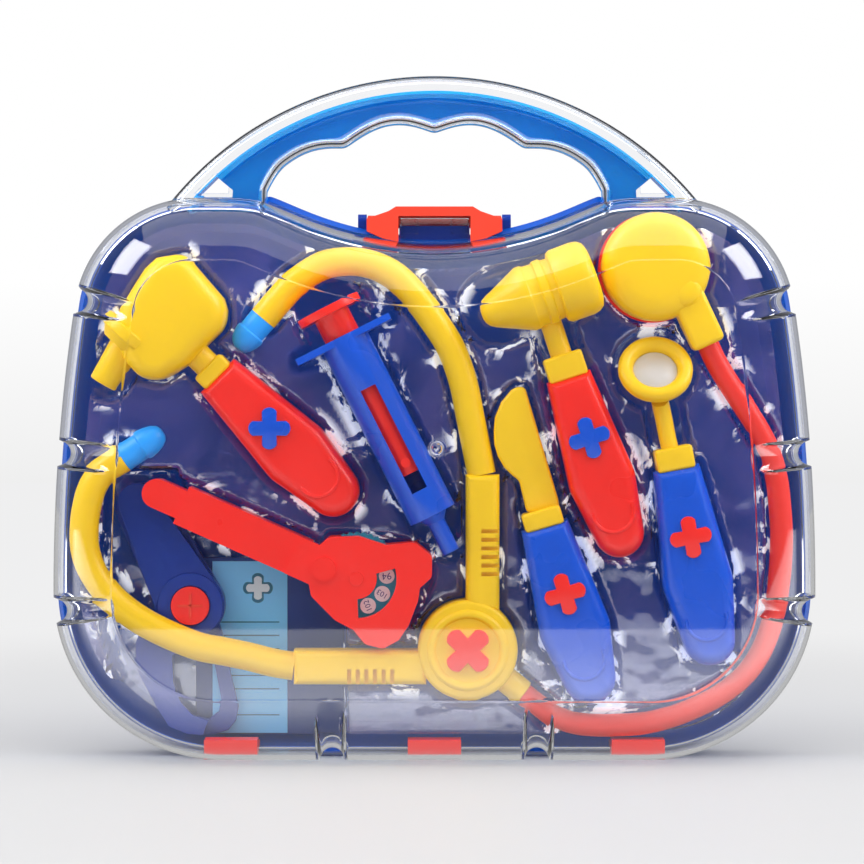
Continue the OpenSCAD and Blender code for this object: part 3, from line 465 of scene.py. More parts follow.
    def rounded(
        self, width: float, test: Callable[[Vector], bool] = lambda p: True,
        segments: int = 3, least: float = 30,
    ) -> "Workpiece":
        """Bevels the sharp edges whose points pass test.

        Args:
            width: The bevel's width.
            test: Picks the edges by their points.
            segments: How many faces the bevel has.
            least: The least angle, in degrees, that counts as sharp.

        Returns:
            The same piece.
        """
        self.pick(Part.EDGES, lambda p: False)
        bpy.ops.mesh.edges_select_sharp(sharpness=math.radians(least))
        bpy.ops.object.mode_set(mode="OBJECT")
        mesh = self.obj.data
        sharp = [
            e.select and all(test(mesh.vertices[i].co) for i in e.vertices) for e in mesh.edges
        ]
        mesh.vertices.foreach_set("select", [False] * len(mesh.vertices))
        mesh.polygons.foreach_set("select", [False] * len(mesh.polygons))
        mesh.edges.foreach_set("select", sharp)
        bpy.ops.object.mode_set(mode="EDIT")
        if any(sharp):
            bpy.ops.mesh.bevel(offset=width, segments=segments, affect="EDGES")
        return self.closed_edit()

    def closed_edit(self) -> "Workpiece":
        """Leaves edit mode."""
        if bpy.context.mode == "EDIT_MESH":
            bpy.ops.object.mode_set(mode="OBJECT")
        return self

    def tidied(self) -> "Workpiece":
        """Merges doubles and turns the faces outwards."""
        self.pick(Part.POINTS, lambda p: True)
        bpy.ops.mesh.remove_doubles(threshold=0.002)
        bpy.ops.mesh.delete_loose()
        bpy.ops.mesh.select_all(action="SELECT")
        bpy.ops.mesh.normals_make_consistent(inside=False)
        return self.closed_edit()

    def without(self, test: Callable[[Vector], bool]) -> "Workpiece":
        """Deletes the faces whose points all pass test."""
        self.pick(Part.FACES, test)
        bpy.ops.mesh.delete(type="FACE")
        return self.closed_edit()

    def modified(self, kind: str, **values: object) -> "Workpiece":
        """Adds a modifier of that kind with those values and applies it."""
        bpy.ops.object.select_all(action="DESELECT")
        bpy.context.view_layer.objects.active = self.obj
        self.obj.select_set(True)
        modifier = self.obj.modifiers.new(kind.title(), kind)
        for key, value in values.items():
            setattr(modifier, key, value)
        bpy.ops.object.modifier_apply(modifier=modifier.name)
        return self

    def cut(self, other: "Workpiece") -> "Workpiece":
        """Takes the other piece's room out of this one."""
        self.modified("BOOLEAN", object=other.obj, operation="DIFFERENCE", solver="EXACT")
        bpy.data.objects.remove(other.obj)
        return self

    def moved(self, matrix: Matrix) -> "Workpiece":
        """Moves the mesh by matrix."""
        self.obj.data.transform(matrix)
        return self

    def joined(self, *others: "Workpiece") -> "Workpiece":
        """Joins the others into this piece."""
        bpy.ops.object.select_all(action="DESELECT")
        for other in others:
            other.obj.select_set(True)
        self.obj.select_set(True)
        bpy.context.view_layer.objects.active = self.obj
        bpy.ops.object.join()
        return self

    def copied(self) -> "Workpiece":
        """A copy with its own mesh."""
        obj = self.obj.copy()
        obj.data = self.obj.data.copy()
        bpy.context.scene.collection.objects.link(obj)
        return Workpiece(obj)

    def settled(
        self, name: str, finish: Plastic | ClearPlastic | Foil, place: Matrix,
        body: str = "case", slot: str | None = None, smooth: float = 38,
    ) -> bpy.types.Object:
        """Puts the piece in the case and dresses it.

        Args:
            name: The piece's name.
            finish: Its finish.
            place: The matrix to the case's metres.
            body: The CAD body that it rides on.
            slot: Not used.
            smooth: The angle, in degrees, up to which its shading is smooth.

        Returns:
            The finished object.
        """
        self.closed_edit()
        obj = self.obj
        obj.data.transform(place)
        obj.name = obj.data.name = name
        obj.data.materials.clear()
        obj.data.materials.append(finish.material())
        bpy.ops.object.select_all(action="DESELECT")
        bpy.context.view_layer.objects.active = obj
        obj.select_set(True)
        bpy.ops.object.shade_smooth_by_angle(angle=math.radians(smooth))
        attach(obj, body)
        return obj


def smooth_route(route: list[tuple], steps: int = 6) -> list[Vector]:
    """A Catmull-Rom curve through a route's points, with steps pieces between each two."""
    points = [Vector(p) for p in route]
    ends = [2 * points[0] - points[1], *points, 2 * points[-1] - points[-2]]
    path = []
    for a, b, c, d in zip(ends, ends[1:], ends[2:], ends[3:]):
        for k in range(steps):
            t = k / steps
            path.append(
                0.5 * (2 * b + (c - a) * t + (2 * a - 5 * b + 4 * c - d) * t * t
                       + (3 * b - a - 3 * c + d) * t**3)
            )
    return path + [points[-1]]


def hull(points: list[Point]) -> list[Point]:
    """The convex hull of points, counter-clockwise."""
    ordered = sorted(set(points))
    lower: list[Point] = []
    upper: list[Point] = []
    for chain, source in ((lower, ordered), (upper, reversed(ordered))):
        for p in source:
            while len(chain) > 1 and (
                (chain[-1][0] - chain[-2][0]) * (p[1] - chain[-2][1])
                - (chain[-1][1] - chain[-2][1]) * (p[0] - chain[-2][0])
            ) <= 0:
                chain.pop()
            chain.append(p)
    return lower[:-1] + upper[:-1]


def circle(at: Point, radius: float, start: float = 0, end: float = 360, count: int = 48) -> list[Point]:
    """Points along a circle's arc, in degrees, the last one left out of a whole circle."""
    whole = abs(end - start) >= 360
    return [
        (at[0] + radius * math.cos(math.radians(start + (end - start) * k / count)),
         at[1] + radius * math.sin(math.radians(start + (end - start) * k / count)))
        for k in range(count if whole else count + 1)
    ]


def polar(at: Point, radius: float, turn: float) -> Point:
    """The point at that radius and angle, in degrees, from another."""
    return (
        at[0] + radius * math.cos(math.radians(turn)),
        at[1] + radius * math.sin(math.radians(turn)),
    )


def cad_piece(
    node: str, finish: Plastic | ClearPlastic | Foil, edge: float = 0.0
) -> bpy.types.Object:
    """Dresses a CAD node that is shown as it is.

    Args:
        node: The node's name.
        finish: Its finish.
        edge: The width, in millimetres, that its sharp edges are rounded by.

    Returns:
        The node's object.
    """
    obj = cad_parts[node]
    obj.data.materials.clear()
    obj.data.materials.append(finish.material())
    if edge:
        weld = obj.modifiers.new("Weld", "WELD")
        weld.merge_threshold = 1e-6
        bevel = obj.modifiers.new("Bevel", "BEVEL")
        bevel.width = edge * MM
        bevel.segments = 2
        bevel.limit_method = "ANGLE"
        bevel.angle_limit = math.radians(35)
    return obj


# ---------------------------------------------------------------- the case


@dataclass
class CaseOutline:
    """The case's outline in its front view, as points of x, z and flute depth."""

    half_width: float = 140
    bottom_corner: float = 62
    side_bow: float = 700
    shoulder_radius: float = 45
    shoulder_height: float = 206.5
    dip_radius: float = 127
    dip_bottom: float = 189.7
    dip_softness: float = 2.2
    strip_end: float = 64
    strip_fade: float = 3
    flute_radius: float = 4.5
    flute_x: float = 37.5
    flute_heights: tuple[float, ...] = (55, 113, 169)
    half_points: int = 544

    def side(self, lift: float) -> list[tuple[float, float]]:
        """The right side's points, from the bottom's middle to the dip's, raised by lift."""
        corner_x = self.half_width - self.bottom_corner
        bow_x = self.half_width - self.side_bow
        shoulder_z = self.shoulder_height - self.shoulder_radius
        reach = self.side_bow - self.shoulder_radius
        rise = shoulder_z - self.bottom_corner
        shoulder_x = bow_x + math.sqrt(reach**2 - rise**2)
        bow_end = math.degrees(math.atan2(rise, shoulder_x - bow_x))
        points = [(x, 0.0) for x in np.linspace(0, corner_x, 80)[:-1]]
        points += circle((corner_x, self.bottom_corner), self.bottom_corner, -90, 0, 64)[:-1]
        points += circle((bow_x, self.bottom_corner), self.side_bow, 0, bow_end, 96)[:-1]
        points += circle(
            (shoulder_x, shoulder_z), self.shoulder_radius, bow_end, 90, 40
        )[:-1]
        return points + [(x, self.top(x, lift)) for x in np.linspace(shoulder_x, 0, 112)]

    def top(self, x: float, lift: float) -> float:
        """The height at x of the dipped top edge, which is raised by lift along the dip."""
        centre = self.dip_bottom + self.dip_radius
        dip = centre - math.sqrt((self.dip_radius - lift) ** 2 - x * x)
        rest = self.shoulder_height
        if lift:
            rest += lift * min(1.0, max(0.0, (self.strip_end - x) / self.strip_fade))
        soft = self.dip_softness
        low = min(dip, rest)
        return low - soft * math.log(math.exp((low - dip) / soft) + math.exp((low - rest) / soft))

    def flute(self, x: float, z: float) -> float:
        """How deep a flute goes at a point of the outline."""
        away = [abs(abs(x) - self.flute_x) if z < 1 else 99]
        away += [abs(z - h) if abs(x) > 100 else 99 for h in self.flute_heights]
        near = min(away)
        return math.sqrt(max(0.0, self.flute_radius**2 - near**2))

    def loop(self, fluted: bool, lift: float = 0.0) -> tuple[np.ndarray, np.ndarray, np.ndarray]:
        """The whole outline.

        Args:
            fluted: Whether it has the lid's flutes.
            lift: How far the dip is raised.

        Returns:
            The points, their inward normals and their flute depths.
        """
        right = np.array(self.side(lift))
        run = np.concatenate([[0], np.cumsum(np.linalg.norm(np.diff(right, axis=0), axis=1))])
        even = np.linspace(0, run[-1], self.half_points)
        x, z = np.interp(even, run, right[:, 0]), np.interp(even, run, right[:, 1])
        points = np.concatenate(
            [np.stack([x, z], 1), np.stack([-x[::-1][1:-1], z[::-1][1:-1]], 1)]
        )
        along = np.roll(points, -1, axis=0) - np.roll(points, 1, axis=0)
        along /= np.linalg.norm(along, axis=1, keepdims=True)
        normals = np.stack([-along[:, 1], along[:, 0]], 1)
        depths = np.array([self.flute(px, pz) if fluted else 0.0 for px, pz in points])
        return points, normals, depths


def softened(rows: list[tuple[float, ...]], passes: int = 2) -> np.ndarray:
    """Rows of a section with their corners cut, the first three kept sharp."""
    kept, rest = np.array(rows[:2]), np.array(rows[2:], dtype=float)
    for _ in range(passes):
        cut = [rest[0]]
        for a, b in zip(rest, rest[1:]):
            cut += [0.75 * a + 0.25 * b, 0.25 * a + 0.75 * b]
        rest = np.array(cut + [rest[-1]])
    return np.concatenate([kept, rest])


@dataclass
class CaseHalf:
    """A hollow half of the case: the clear lid or the blue shell."""

    outline: CaseOutline
    section: list[tuple[float, float, float]]
    way: int
    fluted: bool
    lift: float = 0.0
    wall: float = 1.8

    def built(self) -> Workpiece:
        """The half's wall, shaped over its section's rings."""
        points, normals, depths = self.outline.loop(self.fluted, self.lift)
        flat_points, flat_normals, _ = self.outline.loop(self.fluted)
        rows = []
        for depth, inset, fade in softened(self.section):
            share = min(1.0, max(0.0, (depth - 4) / 6))
            base = points + (flat_points - points) * share
            inward = normals + (flat_normals - normals) * share
            ring = base + inward * (inset + fade * depths)[:, None]
            y = np.full(len(ring), PART_DEPTH + self.way * depth)
            rows.append(np.stack([ring[:, 0], y, ring[:, 1]], 1))
        piece = Workpiece.net(np.array(rows), closed=True)
        end = PART_DEPTH + self.way * self.section[-1][0]
        piece.pick(Part.EDGES, lambda p: abs(p.y - end) < 0.001)
        bpy.ops.mesh.edge_face_add()
        for step in (0.6, 1.0, 1.6):
            bpy.ops.mesh.inset(thickness=step, use_even_offset=False)
        piece.tidied().modified("SOLIDIFY", thickness=self.wall, offset=-1.0)
        spots = np.array([v.co for v in piece.obj.data.vertices])
        spots[:, 1] = np.clip(spots[:, 1], min(PART_DEPTH, end), max(PART_DEPTH, end))
        piece.place_points(spots)
        return piece


LID_SECTION = [
    (0.1, 2, 1), (3.4, 0, 1), (5, 0, 1), (10.5, 0, 1), (16, 2, 1), (21.5, 6, 1),
    (26.5, 11.8, 0.95), (30, 17.8, 0.7), (32, 23.8, 0),
]
SHELL_SECTION = [
    (0.1, 2, 0), (3.4, 0, 0), (5, 0, 0), (10, 0, 0), (15, 2.3, 0), (18.5, 6, 0),
    (20, 10.5, 0),
]


@dataclass
class CarryHandle:
    """The handle's two halves: a scalloped grip under a round arc."""

    top: float = 251.4
    arc: float = 125
    root: Point = (62, 203.3)
    scallop: float = 33
    scallop_rise: float = 4.4
    stations: int = 240
    section: tuple[Point, ...] = (
        (0.1, 1.2), (1.6, 0), (3, 0), (8, 0.3), (9.6, 0.9), (10.6, 2.2), (11, 4),
    )
    windows: tuple[Point, ...] = (
        (80.6, 215), (87.8, 207.9), (75.4, 207.9), (75.2, 210.6),
    )

    def edges(self, step: float) -> tuple[np.ndarray, np.ndarray]:
        """Matching points along the grip and along the arc, which is drawn in by step."""
        x = np.linspace(-self.scallop * 15 / 8, self.scallop * 15 / 8, 400)
        wave = np.abs(np.sin(np.pi * x / self.scallop))
        z = 231 - 0.00505 * x * x + self.scallop_rise * np.sqrt(wave**2 + 0.012)
        z -= 0.08 * np.clip(np.abs(x) - 55, 0, None) ** 2
        side, low = self.root
        grip = np.concatenate([[(-side, low)], np.stack([x, z], 1), [(side, low)]])
        run = np.concatenate([[0], np.cumsum(np.linalg.norm(np.diff(grip, axis=0), axis=1))])
        even = np.linspace(0, run[-1], self.stations)
        grip = np.stack([np.interp(even, run, grip[:, k]) for k in (0, 1)], 1)
        centre, radius = self.top - self.arc, self.arc - step
        start = math.asin((low - centre) / radius)
        angle = np.linspace(math.pi - start, start, self.stations)
        return grip, np.stack([radius * np.cos(angle), centre + radius * np.sin(angle)], 1)

    def half(self, step: float, way: int, wall: float) -> Workpiece:
        """One half of the handle, hollow towards the other.

        Args:
            step: How far its arc is drawn in.
            way: -1 for the front half, 1 for the back one.
            wall: Its wall.

        Returns:
            The half, upright in the case.
        """
        grip, arc = self.edges(step)
        across = arc - grip
        width = np.linalg.norm(across, axis=1, keepdims=True)
        across = across / width
        rows = [(depth, grip + across * inset) for depth, inset in self.section]
        last = self.section[-1]
        rows += [
            (last[0], grip + across * (last[1] + (width - 2 * last[1]) * part))
            for part in (0.25, 0.5, 0.75)
        ]
        rows += [(depth, arc - across * inset) for depth, inset in self.section[::-1]]
        net = np.array([
            np.stack([ring[:, 0], np.full(len(ring), PART_DEPTH + way * depth), ring[:, 1]], 1)
            for depth, ring in rows
        ])
        piece = Workpiece.net(net, closed=False).tidied()
        piece.modified("SOLIDIFY", thickness=wall, offset=-1.0)
        for side in (-1, 1):
            hole = [(side * x, z) for x, z in self.windows]
            cutter = Workpiece.plate(hole, -20, 20).moved(Matrix.Rotation(math.radians(90), 4, "X"))
            piece.cut(cutter.tidied())
        return piece


@dataclass
class Case:
    """The case itself: lid, shell, handle, latch and hinges."""

    outline: CaseOutline = field(default_factory=CaseOutline)
    handle: CarryHandle = field(default_factory=CarryHandle)
    stud_at: Point = (0.9, 115)
    hinge_places: tuple[float, ...] = (-75, 0, 75)
    mark_places: tuple[Point, ...] = ((-124, 124), (124, 126))

    def build(self) -> None:
        """Builds and dresses every piece of the case."""
        self.lid()
        self.shell()
        self.hardware()

    def lid(self) -> None:
        """The clear lid, its handle half, its catch tab and its stud."""
        half = CaseHalf(self.outline, LID_SECTION, -1, fluted=True)
        piece = half.built()
        for x in self.hinge_places:
            piece.cut(Workpiece.box((x - 9.9, -2.3, -1), (x + 9.9, 7, 7.7)))
        lid = piece.settled("lid_window", CLEAR, UPRIGHT, "lid", "clear_plastic")
        grip = self.handle.half(0, -1, wall=1.1).settled(
            "lid_handle_half", CLEAR, UPRIGHT, "lid", "clear_plastic"
        )
        tab = Workpiece.box((-12.8, 3.2, 187.3), (12.8, 5.2, 199.5)).rounded(0.5)
        squares = []
        for x in (-12.8, 5.8):
            squares += [
                Workpiece.box((x, 2.4, 193.5), (x + 0.8, 3.3, 199.4)),
                Workpiece.box((x + 6.2, 2.4, 193.5), (x + 7, 3.3, 199.4)),
                Workpiece.box((x + 0.7, 2.4, 193.5), (x + 6.3, 3.3, 194.3)),
            ]
        catch = tab.joined(*squares).settled(
            "lid_catch_tab", CLEAR, UPRIGHT, "lid", "clear_plastic"
        )
        stud = Workpiece.turned(
            [(0, 0), (3.3, 0), (3.3, 2.0), (2.6, 2.5), (1.9, 2.5), (1.5, 1.6), (0, 1.4)]
        ).settled("lid_stud", CLEAR, lay(self.stud_at, 0, -21.6), "lid", "clear_plastic")
        for piece in (lid, grip, catch, stud):
            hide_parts("front_lid")

    def shell(self) -> None:
        """The blue back shell with its handle half and its latch lugs."""
        half = CaseHalf(self.outline, SHELL_SECTION, 1, fluted=False, lift=3.3)
        piece = half.built()
        for x in self.hinge_places:
            piece.cut(Workpiece.box((x - 9.9, 5, -1), (x + 9.9, 14.3, 5.5)))
        shell = piece.settled("shell_body", SHELL_BLUE, UPRIGHT, slot="blue_plastic")
        # The handle half wears a lighter copy of the shell's blue: painted light.
        grip = self.handle.half(4.6, 1, wall=2.0).settled(
            "shell_handle_half", LIT_HANDLE_BLUE, UPRIGHT, slot="blue_plastic"
        )
        lugs = []
        for side in (-1, 1):
            x = side * 26.8
            lug = Workpiece.drum(2.8, -1.6, 1.6, axis="u", sides=40).moved(
                Matrix.Translation((x, 13, 198.6))
            )
            lugs += [lug, Workpiece.box((x - 1.6, 10.2, 194.4), (x + 1.6, 15.8, 198.6))]
        ears = lugs[0].joined(*lugs[1:]).settled(
            "shell_latch_lugs", DEEP_BLUE, UPRIGHT, slot="blue_plastic"
        )
        # A sheet in a darker copy of the shell's blue behind the catch tab: painted shade.
        back = Workpiece.box((-13, 7.2, 188), (13, 8.2, 196.5)).settled(
            "shell_latch_back", DEEP_BLUE, UPRIGHT, slot="blue_plastic"
        )
        for piece in (shell, grip, ears, back):
            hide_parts("back_shell")

    def hardware(self) -> None:
        """The latch, the hinge leaves and their pins, from CAD."""
        cad_piece("latch", LATCH_RED, edge=0.5)
        cad_piece("latch_pin", STEEL)
        cad_piece("shell_hinge_leaves", RED, edge=0.3)
        cad_piece("lid_hinge_leaves", RED, edge=0.3)
        cad_piece("hinge_pins", STEEL)


# ---------------------------------------------------------------- instruments


def cross_outline(span: float, waist: float = 0.36) -> list[Point]:
    """A four-lobed cross that reaches span from its middle."""
    half = span * waist
    bulb = half * 1.12
    points = []
    for quarter in range(4):
        turn = Matrix.Rotation(math.radians(90 * quarter), 2)
        arm = [(half * 0.92, half * 0.92)]
        arm = [(half * 0.95, -half * 0.95)] + circle((span - bulb, 0), bulb, -62, 62, 14)
        points += [tuple(turn @ Vector(p)) for p in arm]
    return points


@dataclass
class Paddle:
    """The handle that four instruments share, drawn along u from its collar end."""

    length: float
    width: float
    depth: float = 15

    def outline(self) -> list[Point]:
        """Its outline: a collar end, a wide middle and a round tip."""
        tip = self.width * 0.37
        points = [(0, -self.width * 0.335), (0, self.width * 0.335)]
        points += circle((self.length * 0.58, 0), self.width / 2, count=64)
        points += circle((self.length - tip, 0), tip, count=64)
        return hull(points)

    def built(self) -> Workpiece:
        """The paddle with its thumb ridge."""
        body = Workpiece.plate(self.outline(), 0, self.depth)
        body.rounded(1.2, lambda p: p.z < 0.01, segments=2)
        body.rounded(5.2, lambda p: p.z > self.depth - 0.01, segments=7, least=50)
        ridge = Workpiece.tube(
            [(*polar((self.length - 17.5, 0), 7.6, a), self.depth - 0.3) for a in range(-100, 101, 20)],
            0.75,
        )
        return body.joined(ridge)


@dataclass
class Instrument:
    """An instrument on a paddle handle: where it lies and what it is made of."""

    name: str
    at: Point
    turn: float
    paddle: Paddle
    finish: Plastic
    cross_finish: Plastic
    cross_at: float
    cross_turn: float = 0

    def place(self) -> Matrix:
        """The matrix of the paddle's own frame."""
        return lay(self.at, self.turn, FLOOR_DEPTH)

    def handle(self) -> None:
        """Builds the paddle and its cross in place of the CAD ones."""
        slots = {RED: "red_plastic", BLUE: "blue_plastic"}
        grip = self.paddle.built().settled(
            f"{self.name}_paddle", self.finish, self.place(), slot=slots[self.finish]
        )
        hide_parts(f"{self.name}_handle")
        cross = Workpiece.plate(cross_outline(7.7), 0, 1.5).rounded(
            0.5, lambda p: p.z > 1.4, segments=2
        )
        cross.moved(
            Matrix.Translation((self.cross_at, 0, self.paddle.depth - 0.4))
            @ Matrix.Rotation(math.radians(self.cross_turn), 4, "Z")
        )
        badge = cross.settled(
            f"{self.name}_badge", self.cross_finish, self.place(),
            slot=slots[self.cross_finish],
        )
        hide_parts(f"{self.name}_cross")


@dataclass
class Otoscope(Instrument):
    """The otoscope: a faceted head with a ring and a speculum."""

    body: tuple[Point, ...] = (
        (-114.3, 166.3), (-117.5, 158), (-113.5, 147.5), (-108, 140.6),
        (-100.7, 139.2), (-94.9, 142.3), (-89.8, 145.5), (-82.4, 153.5),
        (-76.6, 159), (-76, 165.2), (-77.3, 169.6), (-88.3, 182.4),
        (-91.5, 185.8), (-101.5, 184.3), (-105.8, 180.2), (-110.6, 172.6),
    )
    ring_at: Point = (-112.3, 156)
    ring_turn: float = -131.5
    ring_radius: float = 10.5
    speculum_at: Point = (-111.6, 155.4)
    speculum_turn: float = -121

    def build(self) -> None:
        """Builds the head, the speculum and the handle."""
        self.handle()
        head = Workpiece.plate(list(self.body)[::-1], 0, 19)
        head.rounded(6.0, lambda p: p.z > 18.9, segments=5)
        head.rounded(3.0, lambda p: 0.5 < p.z or p.z < 0.01, segments=3, least=38)
        piece = head.settled(
            "otoscope_head_body", YELLOW, lay((0, 0), 0, FLOOR_DEPTH),
            slot="yellow_plastic", smooth=50,
        )
        collar = Workpiece.box((-5.2, -6.6, 0), (1, 6.6, 13.5)).rounded(1.4)
        neck = Workpiece.drum(5, -14, -4, axis="u", at=(0, 7))
        neck = collar.joined(neck).settled(
            "otoscope_neck", YELLOW, self.place(), slot="yellow_plastic"
        )
        for new in (piece, neck):
            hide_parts("otoscope_head")
        ring = Workpiece.drum(self.ring_radius, -2.6, 2.0, axis="u", at=(0, self.ring_radius))
        ring.rounded(0.8)
        cone = Workpiece.drum(
            self.ring_radius - 0.8, 1.6, 5, axis="u", at=(0, self.ring_radius), tip=7
        )
        ring = ring.joined(cone).settled(
            "otoscope_ring", YELLOW, lay(self.ring_at, self.ring_turn, FLOOR_DEPTH),
            slot="yellow_plastic",
        )
        tube = Workpiece.drum(6.2, 0, 20, axis="u", at=(0, 7.5), tip=5.2).rounded(0.7)
        tube = tube.settled(
            "otoscope_tube", YELLOW, lay(self.speculum_at, self.speculum_turn, FLOOR_DEPTH),
            slot="yellow_plastic",
        )
        for new in (ring, tube):
            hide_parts("otoscope_speculum")


@dataclass
class Hammer(Instrument):
    """The reflex hammer: a cone, a ribbed sleeve and a round head."""

    head_at: Point = (40.4, 171.8)
    head_turn: float = 20
    head_lift: float = 11

    def build(self) -> None:
        """Builds the head and the handle."""
        self.handle()
        profile = [
            (0, -24.6), (1.8, -24.5), (3.4, -24.0), (4.8, -22.9), (5.9, -21.2), (11.2, -9.6),
            (12, -7.9), (12.1, -5.9), (11.5, -5.1), (11.3, -1.8), (12, -1.2), (12.1, 1.4),
            (11.5, 2), (11.3, 4.2), (12.9, 4.8), (13.7, 6.2), (13.8, 14.4), (13.3, 16.8),
            (12, 18.6), (9.8, 19.4), (0, 19.4),
        ]
        head = Workpiece.turned(profile).moved(
            Matrix.Translation((0, 0, self.head_lift))
            @ Matrix.Rotation(math.radians(90), 4, "Y")
        )
        head.cut(Workpiece.box((-60, -60, -30), (60, 60, 0)))
        head = head.settled(
            "hammer_head_body", YELLOW, lay(self.head_at, self.head_turn, FLOOR_DEPTH),
            slot="yellow_plastic",
        )
        collar = Workpiece.box((-8.4, -7.3, 0), (1, 7.3, 13.5)).rounded(1.2)
        neck = Workpiece.drum(4, -24, -7, axis="u", at=(0, 7))
        neck = collar.joined(neck).settled(
            "hammer_neck", YELLOW, self.place(), slot="yellow_plastic"
        )
        for new in (head, neck):
            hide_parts("hammer_head")


@dataclass
class Scalpel(Instrument):
    """The scalpel: a blunt blade on a paddle handle."""

    blade: tuple[Point, ...] = (
        (30.9, 137.5), (28.2, 136), (24.6, 131.6), (22.3, 126), (21.8, 121),
        (22, 116), (23.4, 111.4), (25.6, 107.6), (28.4, 104.8), (31.2, 102.6),
        (33.9, 91), (46.3, 91), (45.5, 96), (33.4, 136.8),
    )

    def build(self) -> None:
        """Builds the blade and the handle."""
        self.handle()
        blade = Workpiece.plate(list(self.blade)[::-1], 0, 6)
        blade.rounded(1.2, segments=3)
        blade = blade.settled(
            "scalpel_blade_body", YELLOW, lay((0, 0), 0, FLOOR_DEPTH - 3),
            slot="yellow_plastic",
        )
        collar = Workpiece.box((-6, -7.3, 0), (1, 7.3, 13.5)).rounded(1.2)
        collar = collar.settled(
            "scalpel_collar", YELLOW, self.place(), slot="yellow_plastic"
        )
        for new in (blade, collar):
            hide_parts("scalpel_blade")


@dataclass
class DentalMirror(Instrument):
    """The dental mirror: a tilted ring on a neck."""

    ring_at: Point = (81, 143.7)
    ring_y: float = -3.4
    tilt: float = 34
    glass_radius: float = 8.2

    def build(self) -> None:
        """Builds the ring, its mirror, the neck and the handle."""
        self.handle()
        tilted = (
            Matrix.Translation(Vector((self.ring_at[0], self.ring_y, self.ring_at[1])) * MM)
            @ Matrix.Rotation(math.radians(90 - self.tilt), 4, "X")
            @ UPRIGHT
        )
        profile = [
            (0, -3), (12.0, -3), (13.2, -2.4), (13.7, -1.2), (13.7, 0.8), (13.2, 2),
            (12.2, 2.6), (10.6, 2.6), (9.4, 2.0), (self.glass_radius, 0.2),
            (self.glass_radius, -1.8), (0, -1.8),
        ]
        ring = Workpiece.turned(profile).settled(
            "mirror_ring", YELLOW, tilted, slot="yellow_plastic"
        )
        neck = Workpiece.tube(
            [(82.6, -4.4, 132.0), (83.4, -2, 129), (84.4, -0.6, 125), (85.6, 0, 119), (87, 0, 113)],
            3.2,
        ).settled("mirror_neck", YELLOW, UPRIGHT, slot="yellow_plastic")
        collar = Workpiece.box((-7.6, -7, 0), (1, 7, 13.5)).rounded(1.2)
        collar = collar.settled(
            "mirror_collar", YELLOW, self.place(), slot="yellow_plastic"
        )
        for new in (ring, neck, collar):
            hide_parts("mirror_frame")
        glass = Workpiece.turned(
            [(0, -1.8), (8.05, -1.8), (8.05, -0.9), (7.6, -0.7), (0, -0.5)]
        ).settled("mirror_disc", MIRROR, tilted, slot="mirror_foil")
        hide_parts("mirror_glass")


